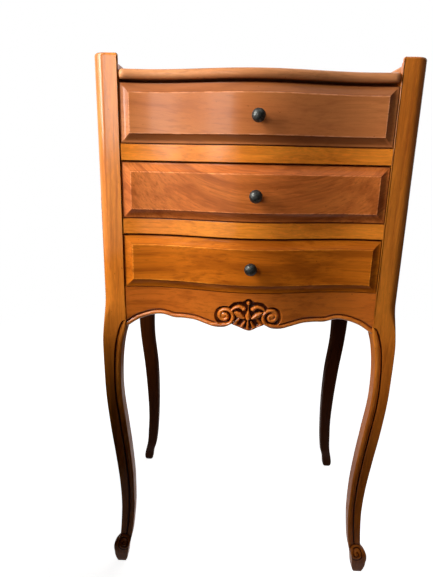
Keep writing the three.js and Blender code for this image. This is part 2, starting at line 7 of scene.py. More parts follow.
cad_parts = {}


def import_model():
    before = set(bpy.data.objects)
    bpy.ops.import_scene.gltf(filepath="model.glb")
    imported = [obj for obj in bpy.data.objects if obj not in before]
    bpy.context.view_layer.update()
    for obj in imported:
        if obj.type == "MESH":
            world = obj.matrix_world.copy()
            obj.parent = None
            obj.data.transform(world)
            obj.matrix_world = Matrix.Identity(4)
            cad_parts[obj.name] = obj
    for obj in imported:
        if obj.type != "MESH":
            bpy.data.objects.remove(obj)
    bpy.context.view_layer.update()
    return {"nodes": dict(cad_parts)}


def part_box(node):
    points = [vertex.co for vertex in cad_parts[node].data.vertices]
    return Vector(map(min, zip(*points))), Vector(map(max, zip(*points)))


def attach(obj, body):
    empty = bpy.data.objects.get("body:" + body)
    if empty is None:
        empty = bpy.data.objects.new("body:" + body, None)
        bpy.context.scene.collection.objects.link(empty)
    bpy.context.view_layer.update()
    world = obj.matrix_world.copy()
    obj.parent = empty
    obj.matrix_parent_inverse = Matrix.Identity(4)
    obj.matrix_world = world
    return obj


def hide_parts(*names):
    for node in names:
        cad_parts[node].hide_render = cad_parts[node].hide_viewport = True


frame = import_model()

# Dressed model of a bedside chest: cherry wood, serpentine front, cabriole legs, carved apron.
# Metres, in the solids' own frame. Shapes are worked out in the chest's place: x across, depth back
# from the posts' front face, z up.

ROWS = ("upper", "middle", "lower")
SIDES = {"left": -1, "right": 1}

# Sizes that the solids have too
HALF_OPENING = 0.1613
POST_SIDE = 0.0295
CASE_DEPTH = 0.269
RAIL_DEPTH = 0.045
LEG_HEIGHT = 0.415
LEG_SWING = 0.012
BOW = 0.0195
BOW_REACH = 0.13
FLANK_SET = 0.003
FIT = 0.0003
POST_TOP_RADIUS = 0.0035
POST_EDGE = 0.0015
ARRIS = 0.001
REAR_CORNER = 0.003
HOLLOW_EDGE = 0.003
LEG_BEAD_RADIUS = 0.002
GROOVE_DEPTH = 0.0015
HEEL_SHARE = 0.6
APRON_DROP = 0.0496
APRON_THICKNESS = 0.02
APRON_BEAD = 0.0028
TOP_OVERHANG = 0.005
TOP_RETURN = 0.008
PANEL_INSET = 0.0072
BOARD_THICKNESS = 0.015
SKIRT_DROP = 0.048
SKIRT_ARCH = 0.016
BACK_RAIL_FRONT = 0.249
FRONT_THICKNESS = 0.019
HOUSING = 0.008
SIDE_THICKNESS = 0.009
FIELD_RISE = 0.006
QUIRK_RISE = 0.0009

# Sizes that follow the photograph more closely than the solids do
POST_CORNER = 0.0132
LEG_BEAD_WIDTH = 0.0067
LEG_GROOVE_WIDTH = 0.0033
GROOVE_WIDTH = 0.0028
BACK_ROUND_SHARE = 0.22
BEVEL_WIDTH = 0.0104

# Sizes read from the solids
HALF_WIDTH = HALF_OPENING + POST_SIDE
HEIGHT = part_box("front_left_leg")[1].z
FACE_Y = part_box("upper_drawer_rail")[1].y - RAIL_DEPTH
APRON_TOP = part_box("front_apron")[1].z
TOP_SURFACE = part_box("top_panel")[1].z
HEIGHT_OF_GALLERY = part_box("back_gallery_rail")[1].z


def at(x, depth, z):
    """Points of the chest's place in the frame, as rows of x, y, z."""
    return np.stack(np.broadcast_arrays(x, FACE_Y + np.asarray(depth, float), z), -1)


def front(x):
    """Depth of the serpentine front at x."""
    return FLANK_SET - BOW / 2 * (1 + np.cos(np.pi * np.asarray(x, float) / BOW_REACH))


def smooth(value, low, high):
    """0 up to low, 1 from high on, and an even rise between them."""
    share = np.clip((value - low) / (high - low), 0, 1)
    return share * share * (3 - 2 * share)


# Meshes

def piece(name, node, points, faces, material, stain_shade_and_wear=None, sharp=32, body="carcass"):
    """A piece made of points and faces that stands for one of the solids."""
    mesh = bpy.data.meshes.new(name)
    mesh.from_pydata([tuple(point) for point in points], [], faces)
    # The stain attribute holds real stain and painted shade above 0, and wear and painted highlights below 0
    if stain_shade_and_wear is not None:
        mesh.attributes.new("stain_shade_and_wear", "FLOAT", "POINT").data.foreach_set("value", np.ravel(stain_shade_and_wear))
    mesh.update()
    obj = bpy.data.objects.new(name, mesh)
    bpy.context.scene.collection.objects.link(obj)
    turn_outwards(mesh)
    mesh.shade_smooth()
    mesh.set_sharp_from_angle(angle=math.radians(sharp))
    mesh.materials.append(material)
    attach(obj, body)
    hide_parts(node)


def turn_outwards(mesh):
    """Turns a closed mesh whose faces agree so that they point out."""
    mesh.calc_loop_triangles()
    points = np.array([vertex.co for vertex in mesh.vertices])
    corners = points[np.array([triangle.vertices for triangle in mesh.loop_triangles])]
    if np.sum(corners[:, 0] * np.cross(corners[:, 1], corners[:, 2])) < 0:
        mesh.flip_normals()


def tube(rings):
    """Points and faces of rings with equally many points, closed by a face at each end."""
    count = len(rings[0])
    last = (len(rings) - 1) * count
    faces = []
    for low in range(0, last, count):
        for i in range(count):
            j = (i + 1) % count
            faces.append((low + i, low + j, low + count + j, low + count + i))
    faces.append(tuple(range(count - 1, -1, -1)))
    faces.append(tuple(range(last, last + count)))
    return np.concatenate(rings), faces


def joined(*parts):
    """Points and faces of several closed parts in one mesh."""
    points, faces = [], []
    for part_points, part_faces in parts:
        start = sum(len(group) for group in points)
        points.append(part_points)
        faces += [tuple(start + index for index in face) for face in part_faces]
    return np.concatenate(points), faces


def block(low, high):
    """Points and faces of a box between two corners, given as x, depth, z."""
    (x0, y0, z0), (x1, y1, z1) = low, high
    ring = [(x0, y0), (x1, y0), (x1, y1), (x0, y1)]
    return tube([np.array([at(x, y, z) for x, y in ring]) for z in (z0, z1)])


def arc(centre_in, centre_back, radius, start, steps):
    """Quarter round of a section: distances in from the outer face and back from the front face."""
    turns = (start + np.linspace(0, 1, steps + 1)) * math.pi / 2
    return np.stack([centre_in - radius * np.cos(turns), centre_back - radius * np.sin(turns)], -1)


def cubic(start, end, leave, arrive, samples):
    """Points of a cubic between two points with its tangents there, without its end."""
    share = (np.arange(samples) / samples)[:, None]
    return (start + leave * share + (3 * (end - start) - 2 * leave - arrive) * share ** 2
            + (2 * (start - end) + leave + arrive) * share ** 3)


def centripetal_curve(points, samples):
    """Centripetal curve through points, with so many samples a span."""
    points = np.array(points, float)
    padded = np.concatenate([[2 * points[0] - points[1]], points, [2 * points[-1] - points[-2]]])
    spans = []
    for p0, p1, p2, p3 in zip(padded, padded[1:], padded[2:], padded[3:]):
        d0, d1, d2 = (math.sqrt(np.linalg.norm(b - a)) for a, b in ((p0, p1), (p1, p2), (p2, p3)))
        leave = ((p1 - p0) / d0 - (p2 - p0) / (d0 + d1) + (p2 - p1) / d1) * d1
        arrive = ((p2 - p1) / d1 - (p3 - p1) / (d1 + d2) + (p3 - p2) / d2) * d1
        spans.append(cubic(p1, p2, leave, arrive, samples))
    return np.concatenate([*spans, points[-1:]])


def uniform_curve(points, samples):
    """Uniform curve through points, with its ends doubled."""
    points = np.array(points, float)
    padded = np.concatenate([points[:1], points, points[-1:]])
    spans = []
    for p0, p1, p2, p3 in zip(padded, padded[1:], padded[2:], padded[3:]):
        spans.append(cubic(p1, p2, (p2 - p0) / 2, (p3 - p1) / 2, samples))
    return np.concatenate([*spans, points[-1:]])


# Nodes of the materials

def srgb(red, green, blue):
    """Linear colour of a display colour given from 0 to 255."""
    shares = np.array([red, green, blue]) / 255
    return (*np.where(shares <= 0.04045, shares / 12.92, ((shares + 0.055) / 1.055) ** 2.4), 1)


def add(tree, kind, inputs=None, **settings):
    """A node with its settings, and its inputs as values or as other nodes' outputs."""
    node = tree.nodes.new(kind)
    for key, value in settings.items():
        setattr(node, key, value)
    for key, value in (inputs or {}).items():
        if isinstance(value, bpy.types.NodeSocket):
            tree.links.new(value, node.inputs[key])
        else:
            node.inputs[key].default_value = value
    return node


def calculate(tree, operation, a, b=0.0, limited=False):
    node = add(tree, "ShaderNodeMath", {0: a, 1: b}, operation=operation, use_clamp=limited)
    return node.outputs[0]


def vector_sum(tree, a, b, operation="ADD"):
    return add(tree, "ShaderNodeVectorMath", {0: a, 1: b}, operation=operation).outputs[0]


def blended(tree, share, a, b, blend="MIX"):
    node = add(tree, "ShaderNodeMix", {0: share, 6: a, 7: b}, data_type="RGBA", blend_type=blend)
    return node.outputs[2]


def multiplied(tree, colour, factor):
    return blended(tree, 1.0, colour, (*factor, 1), "MULTIPLY")


def darkened(tree, colour, share, factor):
    """A colour multiplied by a factor colour, by a share that is kept from 0 to 1."""
    limited = calculate(tree, "MULTIPLY", share, 1.0, limited=True)
    return blended(tree, limited, colour, multiplied(tree, colour, factor))


def stretched(tree, vector, scale, location=(0, 0, 0)):
    values = {"Vector": vector, "Scale": scale, "Location": location}
    return add(tree, "ShaderNodeMapping", values).outputs[0]


def noise(tree, vector, scale, detail=3.0, roughness=0.5):
    values = {"Vector": vector, "Scale": scale, "Detail": detail, "Roughness": roughness}
    return add(tree, "ShaderNodeTexNoise", values).outputs["Fac"]


def spread(tree, value, low, high, to_low=0.0, to_high=1.0):
    """A value taken from one range to another, smoothly and kept within it."""
    values = {"Value": value, "From Min": low, "From Max": high, "To Min": to_low, "To Max": to_high}
    return add(tree, "ShaderNodeMapRange", values, interpolation_type="SMOOTHSTEP").outputs[0]


def new_material(name):
    material = bpy.data.materials.new(name)
    material.use_nodes = True
    material.node_tree.nodes.clear()
    return material, material.node_tree


def finished(tree, shader):
    add(tree, "ShaderNodeOutputMaterial", {"Surface": shader.outputs[0]})


# Wood. Each layer of its grain is a noise: how much of it is left along the grain, which stretches
# it, then its scale, detail and roughness
GRAIN_LAYERS = {
    "bands": (0.03, 85.0, 2.0, 0.5),
    "lines": (0.012, 340.0, 2.0, 0.6),
    "fibres": (0.03, 1300.0, 2.0, 0.6),
    "pores": (0.12, 900.0, 1.0, 0.5),
    "tone": (0.4, 14.0, 2.0, 0.5),
    "cloud": (0.16, 480.0, 3.0, 0.6),
    "flecks": (0.7, 330.0, 1.0, 0.5),
}
WARPED_LAYERS = ("bands", "lines")

# Slow warp of the growth lines: how much of it is left along the grain, its scale, detail and reach
WARP_STRETCH = 0.4
WARP_SCALE = 7.0
WARP_DETAIL = 2.0
WARP_REACH = 0.03

# Layers that darken the wood: the range of the noise in which they set in, and their strength
DARK_LAYERS = {
    "bands": (0.44, 0.72, 0.34),
    "lines": (0.46, 0.75, 0.3),
    "fibres": (0.5, 0.8, 0.16),
    "pores": (0.7, 0.8, 0.25),
}
TONE_RANGE = (0.28, 0.72)
MOTTLE_RANGE = (0.42, 0.7)
MOTTLE_FACTOR = (1.5, 1.45, 1.4)
FLECK_RANGE = (0.76, 0.82)
FLECK_STRENGTH = 0.7
FLECK_FACTOR = (0.45, 0.35, 0.3)

# A stain above 0 darkens the wood, as real stain in places and as painted shade in grooves, hollows, gaps
# and under edges; one below 0 makes it pale in patches, as wear and as painted highlights on crests, beads
# and the quirk
STAIN_AND_SHADE_FACTOR = (0.1, 0.06, 0.045)
WEAR_AND_HIGHLIGHT_FACTOR = (1.5, 1.9, 3.0)
WEAR_AND_HIGHLIGHT_PATCHES = (0.35, 0.6, 0.2, 1.0)

# Sheen: how the roughness varies, and how much the stain and painted shade add to it
WOOD_SPECULAR = 0.04
COAT_ROUGHNESS = 0.18
SHEEN_SCALE = 60.0
SHEEN_RANGE = (0.3, 0.7)
SMOOTHER = 0.05
ROUGHER = 0.07
STAIN_AND_SHADE_ROUGHNESS = 0.15

# Relief: shares of the fibres and lines in it, and the size of the bump
FIBRE_RELIEF = 0.3
LINE_RELIEF = 0.5
WAVE_SCALE = 60.0
BUMP_STRENGTH = 0.3
BUMP_DISTANCE = 0.0002

# Varnish that dulls down a leg: half the height over which it does, and its share that stays
DULL_SPAN = 0.1
DULL_SHARE = 0.15


def grain_place(tree, grain, place, bend):
    """Coordinates with x along the grain, moved to a place of their own, plain and warped."""
    coords = add(tree, "ShaderNodeTexCoord").outputs["Object"]
    parts = add(tree, "ShaderNodeSeparateXYZ", {0: coords}).outputs
    order = {"x": (0, 1, 2), "y": (1, 2, 0), "z": (2, 0, 1)}[grain]
    turned = add(tree, "ShaderNodeCombineXYZ", {i: parts[axis] for i, axis in enumerate(order)})
    curvature, middle = bend
    away = calculate(tree, "SUBTRACT", parts[order[0]], middle)
    lift = calculate(tree, "MULTIPLY", calculate(tree, "MULTIPLY", away, away), curvature)
    bent = add(tree, "ShaderNodeCombineXYZ", {1: lift, 2: lift})
    arched = vector_sum(tree, turned.outputs[0], bent.outputs[0], "SUBTRACT")
    placed = stretched(tree, arched, (1, 1, 1), place)
    return placed, slow_warp(tree, placed)


def slow_warp(tree, placed):
    """Coordinates drifted by a slow noise, so that the growth lines don't run dead straight."""
    base = stretched(tree, placed, (WARP_STRETCH, 1, 1))
    values = {"Vector": base, "Scale": WARP_SCALE, "Detail": WARP_DETAIL}
    drift = add(tree, "ShaderNodeTexNoise", values).outputs["Color"]
    centred = vector_sum(tree, drift, (0.5, 0.5, 0.5), "SUBTRACT")
    values = {0: centred, "Scale": WARP_REACH}
    shift = add(tree, "ShaderNodeVectorMath", values, operation="SCALE").outputs[0]
    return vector_sum(tree, placed, shift)


def grain_layers(tree, placed, warped):
    """The noises of a wood's grain, by name."""
    layers = {}
    for layer, (stretch, scale, detail, roughness) in GRAIN_LAYERS.items():
        base = warped if layer in WARPED_LAYERS else placed
        layers[layer] = noise(tree, stretched(tree, base, (stretch, 1, 1)), scale, detail, roughness)
    return layers


def grain_colour(tree, layers, colours, figure, mottle):
    """Colour of the clean wood: changes of tone, growth bands and lines, pores, mottling and flecks."""
    dark, middle, light = (srgb(*colour) for colour in colours)
    colour = blended(tree, spread(tree, layers["tone"], *TONE_RANGE), middle, light)
    for layer, (low, high, strength) in DARK_LAYERS.items():
        share = spread(tree, layers[layer], low, high)
        share = calculate(tree, "MULTIPLY", share, strength * figure, limited=True)
        colour = blended(tree, share, colour, dark)
    if mottle:
        share = calculate(tree, "MULTIPLY", spread(tree, layers["cloud"], *MOTTLE_RANGE), mottle)
        colour = blended(tree, share, colour, multiplied(tree, colour, MOTTLE_FACTOR))
    flecks = spread(tree, layers["flecks"], *FLECK_RANGE)
    flecks = calculate(tree, "MULTIPLY", flecks, FLECK_STRENGTH)
    return darkened(tree, colour, flecks, FLECK_FACTOR)


def stained_shaded_and_worn(tree, colour, stain_shade_and_wear, cloud):
    """A colour darkened where the stain is above 0, which stands for real stain and for painted shade, and
    made pale in patches where it is below, which stands for wear and for painted highlights.
    """
    colour = darkened(tree, colour, stain_shade_and_wear, STAIN_AND_SHADE_FACTOR)
    worn = calculate(tree, "MULTIPLY", stain_shade_and_wear, -1.0, limited=True)
    wear = calculate(tree, "MULTIPLY", worn, spread(tree, cloud, *WEAR_AND_HIGHLIGHT_PATCHES))
    return blended(tree, wear, colour, multiplied(tree, colour, WEAR_AND_HIGHLIGHT_FACTOR))


def shade_faded(tree, colour, varnish, shade_fade):
    """Colour darkened by painted shade from one height down to a lower one, and varnish that gets duller
    there.
    """
    low, high, factor = shade_fade
    coords = add(tree, "ShaderNodeTexCoord").outputs["Object"]
    height = add(tree, "ShaderNodeSeparateXYZ", {0: coords}).outputs[2]
    colour = darkened(tree, colour, spread(tree, height, low, high, 1.0, 0.0), factor)
    coat = spread(tree, height, high - DULL_SPAN, high + DULL_SPAN, varnish * DULL_SHARE, varnish)
    return colour, coat


def grain_roughness(tree, placed, stain_shade_and_wear, roughness):
    """Roughness that varies in soft patches and grows with the stain and painted shade."""
    patches = noise(tree, placed, SHEEN_SCALE)
    varied = spread(tree, patches, *SHEEN_RANGE, roughness - SMOOTHER, roughness + ROUGHER)
    rougher = calculate(tree, "MULTIPLY", stain_shade_and_wear, STAIN_AND_SHADE_ROUGHNESS)
    return calculate(tree, "ADD", varied, rougher, limited=True)


def grain_relief(tree, placed, layers):
    """Bump of fibres, growth lines and slow waves."""
    fibres = calculate(tree, "MULTIPLY", layers["fibres"], FIBRE_RELIEF)
    lines = calculate(tree, "MULTIPLY", layers["lines"], LINE_RELIEF)
    fine = calculate(tree, "ADD", fibres, lines)
    relief = calculate(tree, "ADD", fine, noise(tree, placed, WAVE_SCALE, 2.0))
    values = {"Strength": BUMP_STRENGTH, "Distance": BUMP_DISTANCE, "Height": relief}
    return add(tree, "ShaderNodeBump", values).outputs[0]


def wood(name, colours, grain="x", place=(0, 0, 0), bend=(0, 0), roughness=0.42, varnish=0.12,
         figure=1.0, mottle=0.0, shade_fade=None):
    """Cherry or a plainer wood, from its dark, middle and light display colours."""
    material, tree = new_material(name)
    placed, warped = grain_place(tree, grain, place, bend)
    layers = grain_layers(tree, placed, warped)
    # Stain attribute: real stain and painted shade above 0, wear and painted highlights below 0
    stain_shade_and_wear = add(tree, "ShaderNodeAttribute", attribute_name="stain_shade_and_wear").outputs["Fac"]
    colour = stained_shaded_and_worn(tree, grain_colour(tree, layers, colours, figure, mottle), stain_shade_and_wear, layers["cloud"])
    coat = varnish
    if shade_fade:
        colour, coat = shade_faded(tree, colour, varnish, shade_fade)
    finished(tree, add(tree, "ShaderNodeBsdfPrincipled", {
        "Base Color": colour, "Roughness": grain_roughness(tree, placed, stain_shade_and_wear, roughness),
        "Specular IOR Level": WOOD_SPECULAR, "Coat Weight": coat, "Coat Roughness": COAT_ROUGHNESS,
        "Normal": grain_relief(tree, placed, layers),
    }))
    return material


# Painted shade down the legs: full below the first height, none above the second, and the colour's factor
LEG_SHADE_FADE = (0.03, 0.48, (0.72, 0.66, 0.66))
REAR_SHADE_FADE = (0.3, 0.52, (0.22, 0.2, 0.2))

POST_WOOD = wood("cherry_posts", [(142, 66, 17), (198, 109, 33), (219, 130, 42)], "z", (0.1, 0.2, 0.3),
                 varnish=0.85, figure=1.3, mottle=0.35, shade_fade=LEG_SHADE_FADE)
# The rear legs' wood is darker than the posts' as painted shade
REAR_WOOD = wood("cherry_rear_legs", [(70, 34, 14), (150, 78, 30), (172, 92, 38)], "z", (0.4, 0, 0),
                 roughness=0.5, varnish=0.1, shade_fade=REAR_SHADE_FADE)
RAIL_WOOD = wood("cherry_rails", [(168, 81, 19), (231, 131, 37), (244, 147, 45)], "x", (0.1, 0.4, 0.3),
                 varnish=0.75, mottle=0.35, figure=1.2)
TOP_WOOD = wood("cherry_top", [(137, 79, 44), (203, 132, 82), (217, 149, 98)], "x", (0.7, 0.2, 0.5),
                varnish=0.3, mottle=0.2)
APRON_WOOD = wood("cherry_apron", [(128, 57, 12), (195, 96, 28), (209, 112, 35)], "x", (0.3, 0.1, 0.9),
                  varnish=0.9, figure=1.3, mottle=0.15)
SIDE_WOOD = wood("cherry_sides", [(130, 68, 24), (190, 110, 46), (206, 128, 58)], "z", (0.9, 0.5, 0.2))
FRONT_WOODS = {
    "upper": wood("cherry_upper_front", [(139, 75, 39), (192, 112, 60), (202, 124, 69)], "x",
                  (0.2, 0.3, 0.1), (0.25, 0.03), varnish=0.45, figure=0.9, mottle=0.1),
    "middle": wood("cherry_middle_front", [(145, 69, 26), (197, 104, 46), (209, 118, 53)], "x",
                   (1.3, 0.2, 0.7), (2.2, 0.021), varnish=0.35, figure=1.8, mottle=0.3),
    "lower": wood("cherry_lower_front", [(138, 64, 10), (204, 107, 22), (216, 122, 30)], "x",
                  (2.1, 0.8, 1.4), figure=1.8, mottle=0.15),
}
INNER_WOOD = wood("plain_inner_wood", [(150, 112, 70), (196, 160, 112), (212, 178, 130)], "y",
                  (0.2, 0.4, 0), roughness=0.62, varnish=0.0)
PLY_WOOD = wood("thin_plywood", [(150, 104, 62), (200, 152, 98), (214, 168, 112)], "x",
                (0.6, 0.4, 0), roughness=0.66, varnish=0.0)

# Metal: scales of its dull patches and of its hammer marks, and the sizes of its bump
PATCH_SCALE = 420.0
DENT_SCALE = 520.0
PATCH_RELIEF = 0.4
DENT_DISTANCE = 0.0005
METALLIC = 0.75


def metal(name, colour, dull, roughness, hammered):
    """Dark or plain metal with a lightly beaten surface and duller patches."""
    material, tree = new_material(name)
    coords = add(tree, "ShaderNodeTexCoord").outputs["Object"]
    patches = noise(tree, coords, PATCH_SCALE, 3.0, 0.6)
    dents = add(tree, "ShaderNodeTexVoronoi", {"Vector": coords, "Scale": DENT_SCALE}, feature="SMOOTH_F1")
    tint = blended(tree, spread(tree, patches, 0.35, 0.65), srgb(*colour), srgb(*dull))
    shine = spread(tree, patches, 0.3, 0.7, roughness - 0.08, roughness + 0.12)
    raised = calculate(tree, "MULTIPLY", patches, PATCH_RELIEF)
    height = calculate(tree, "ADD", dents.outputs["Distance"], raised)
    values = {"Strength": hammered, "Distance": DENT_DISTANCE, "Height": height}
    bump = add(tree, "ShaderNodeBump", values).outputs[0]
    finished(tree, add(tree, "ShaderNodeBsdfPrincipled", {
        "Base Color": tint, "Metallic": METALLIC, "Roughness": shine, "Normal": bump,
    }))
    return material


PEWTER = metal("dark_knob_metal", (78, 80, 77), (48, 48, 46), 0.4, 0.5)
STEEL = metal("screw_steel", (170, 170, 172), (130, 130, 132), 0.35, 0.1)


# Legs: share of the leg's height, then how far the outer arris and the inner corner stand out
FRONT_LEG_SHARES = [
    (0, -0.22, 1.18), (0.012, -0.1, 1), (0.029, 0.02, 0.88), (0.048, 0.15, 0.8), (0.066, 0.18, 0.7),
    (0.079, 0.1, 0.6), (0.088, -0.13, 0.53), (0.096, -0.47, 0.46), (0.108, -0.6, 0.38), (0.125, -0.66, 0.29),
    (0.169, -0.77, 0.13), (0.241, -0.87, -0.04), (0.337, -0.78, -0.06), (0.458, -0.47, 0.14),
    (0.578, -0.11, 0.46), (0.699, 0.15, 0.79), (0.795, 0.21, 0.77), (0.855, 0.22, 0.6),
    (0.896, 0.2, 0.38), (0.925, 0.13, 0.13), (0.945, 0.07, 0.02), (0.969, 0.03, 0), (1, 0, 0),
]
REAR_LEG_SHARES = [
    (0, 0.02, 1.42), (0.008, 0.12, 1.26), (0.019, 0.16, 1.2), (0.039, 0.07, 1.1), (0.055, -0.05, 1),
    (0.072, -0.2, 0.82), (0.104, -0.46, 0.5), (0.135, -0.62, 0.33), (0.178, -0.74, 0.15),
    (0.265, -0.93, -0.08), (0.386, -0.84, -0.2), (0.53, -0.43, 0), (0.675, 0.25, 0.62),
    (0.795, 0.45, 0.6), (0.896, 0.25, 0.2), (0.952, 0.08, 0.02), (1, 0, 0),
]

# Shares of the leg's height between which its corners, bead and heel change
CORNER_SHARES = (0.935, 1.035)
BEAD_TOP_SHARES = (0.956, 0.9585)
BEAD_TAPER_SHARES = (0.92, 0.9575)
BEAD_TAPER_END = 0.998
BEAD_FOOT_SHARES = (0.1, 0.12)
HEEL_SHARES = (0.1, 0.14)

# Rings up a leg: for each span of its curve, up the post, round the hollow's cove and over the top
LEG_SAMPLES = 14
POST_SAMPLES = 30
SHANK_SAMPLES = 5
COVE_SAMPLES = 9
HOLLOW_SAMPLES = 6
CROWN_SAMPLES = 9
HOLLOW_COVE = 0.004

# Points round a front leg's section
CORNER_POINTS = 13
FACE_POINTS = 24
GROOVE_POINTS = 7
EDGE_POINTS = 11
INSIDE_POINTS = 15
ROUND_STEPS = 6
BEAD_TURN = 0.75

# Painted shade in the groove, and wear on the outer corner and on the bead
GROOVE_SHADE = 1.5
EDGE_WEAR = -0.25
WORN_CORNER = np.arange(CORNER_POINTS) > 3
WORN_BEAD = (np.arange(EDGE_POINTS) > 2) & (np.arange(EDGE_POINTS) < 8)

# Round on the outer corner of a toe, and the heights at which it sets in and ends
TOE_ROUND = 0.0035
TOE_RISE = (0.012, 0.02)
TOE_FALL = (0.036, 0.04)

# Scroll on a front foot: its middle from the post's inner face and above the floor, and its size
SCROLL_INSET = 0.016
SCROLL_LEVEL = 0.0345
SCROLL_RADIUS = 0.0103
SCROLL_PITCH = 0.005
SCROLL_DEPTH = 0.0014
SCROLL_RIM = (SCROLL_RADIUS - 0.0012, SCROLL_RADIUS + 0.0004)
SCROLL_EYE = (0.0008, 0.0018)

# Parts of the scroll's depth, its painted shade in the hollows, and wear with a painted highlight on the
# crests
SCROLL_GROUND = 0.35
SCROLL_WAVE = 0.5
SCROLL_SHADE = 0.9
SCROLL_WEAR_AND_HIGHLIGHT = 0.4

# Cut over the scroll: how far it lies outside, its width, where it sets in, its depth and painted shade
CUT_OFFSET = 0.001
CUT_WIDTH = 0.0011
CUT_START = (0, 0.005)
CUT_DEPTH = 0.0005
CUT_SHADE = 0.8

# Points that the scroll moves: from the last third of the outer corner to the bead's inner side
SCROLLED = slice(CORNER_POINTS - 4, CORNER_POINTS + FACE_POINTS + GROOVE_POINTS + EDGE_POINTS - 2)


def leg_stations(shares):
    """Height, outer and inner offsets up the leg and its post."""
    scaled = [(height * LEG_HEIGHT, outer * LEG_SWING, inner * LEG_SWING) for height, outer, inner in shares]
    post = np.linspace(LEG_HEIGHT * CORNER_SHARES[1], TOP_SURFACE, POST_SAMPLES)
    shank = np.linspace(LEG_HEIGHT, post[0], SHANK_SAMPLES)[1:-1]
    plain = [(height, 0, 0) for height in (*shank, *post)]
    return np.concatenate([centripetal_curve(scaled, LEG_SAMPLES), plain])


def leg_rows(shares):
    """Height, outer and inner offset, slope of the inner side and hollow of each ring, from the floor up."""
    stations = leg_stations(shares)
    leans = np.gradient(stations[:, 2], stations[:, 0])
    rows = [(h, o, i, math.hypot(1, lean), 0) for (h, o, i), lean in zip(stations, leans) if h < TOP_SURFACE]
    for turn in np.linspace(0, math.pi / 2, COVE_SAMPLES):
        rows.append((TOP_SURFACE + HOLLOW_COVE * (1 - math.cos(turn)), 0, 0, 1, math.sin(turn)))
    for height in np.linspace(rows[-1][0], HEIGHT - POST_TOP_RADIUS, HOLLOW_SAMPLES)[1:]:
        rows.append((height, 0, 0, 1, 1))
    for share in np.linspace(0, 1, CROWN_SAMPLES)[1:]:
        inset = POST_TOP_RADIUS * (1 - math.sqrt(1 - share * share))
        rows.append((HEIGHT - POST_TOP_RADIUS * (1 - share), -inset, inset, 1, 1))
    return rows


def bead_share(share):
    """How much of the bead's width is left where it tapers off below the post."""
    start, end = BEAD_TAPER_SHARES
    taper = np.clip((share - start) / (end - start), 0, BEAD_TAPER_END)
    return math.sqrt(1 - taper * taper)


def leg_groove(groove_in, beaded):
    """Points across the groove beside the bead, with its painted shade."""
    across = np.linspace(0, 1, GROOVE_POINTS)
    hollow = np.sin(across * math.pi)
    points = np.stack([groove_in - LEG_GROOVE_WIDTH * (1 - across), GROOVE_DEPTH * beaded * hollow], -1)
    return points, beaded * np.minimum(1, GROOVE_SHADE * hollow)


def leg_bead(side, groove_in, beaded):
    """Points round the bead on the inner edge, which turns into the plain edge of the post."""
    turns = np.linspace(BEAD_TURN, 0, EDGE_POINTS) * math.pi
    half = (side - groove_in) / (1 - math.cos(turns[0]))
    bead = np.stack([side - half + half * np.cos(turns), LEG_BEAD_RADIUS * (1 - np.sin(turns))], -1)
    edge = arc(side - POST_EDGE, POST_EDGE, POST_EDGE, 1, ROUND_STEPS)
    flat = np.linspace((groove_in, 0), edge[0], EDGE_POINTS - ROUND_STEPS)[:-1]
    plain = np.concatenate([flat, edge])
    return plain + (bead - plain) * beaded


def leg_inside(side, round_back, hollow):
    """Points down the inner side, hollowed out above the top board."""
    reach = side - HOLLOW_EDGE
    turns = np.linspace(math.pi / 2, math.asin(round_back / reach), INSIDE_POINTS)
    return np.stack([side - PANEL_INSET * hollow * np.cos(turns), side - reach * np.sin(turns)], -1)


def foot_scroll(x, z):
    """Carved spiral on the front face of a foot: how far it lifts the face, and how dark it is from painted
    shade in its hollows and cut, and how pale on its crests from wear and a painted highlight.
    """
    dx = x - (HALF_OPENING + SCROLL_INSET)
    dz = z - SCROLL_LEVEL
    radius = np.hypot(dx, dz)
    turn = np.arctan2(dz, dx) / (2 * math.pi)
    wave = np.cos(2 * math.pi * (radius / SCROLL_PITCH + turn))
    inside = 1 - smooth(radius, *SCROLL_RIM)
    eye = 1 - smooth(radius, *SCROLL_EYE)
    lift = SCROLL_DEPTH * (inside * (SCROLL_GROUND + SCROLL_WAVE * wave * (1 - eye)) + SCROLL_WAVE * eye)
    hollows = inside * smooth(-wave, 0.1, 0.9) * (1 - eye)
    crests = inside * smooth(wave, 0.5, 1)
    dark = hollows * SCROLL_SHADE - SCROLL_WEAR_AND_HIGHLIGHT * crests
    cut = np.exp(-((radius - SCROLL_RADIUS - CUT_OFFSET) / CUT_WIDTH) ** 2) * smooth(dz, *CUT_START)
    return lift - CUT_DEPTH * cut, dark + CUT_SHADE * cut


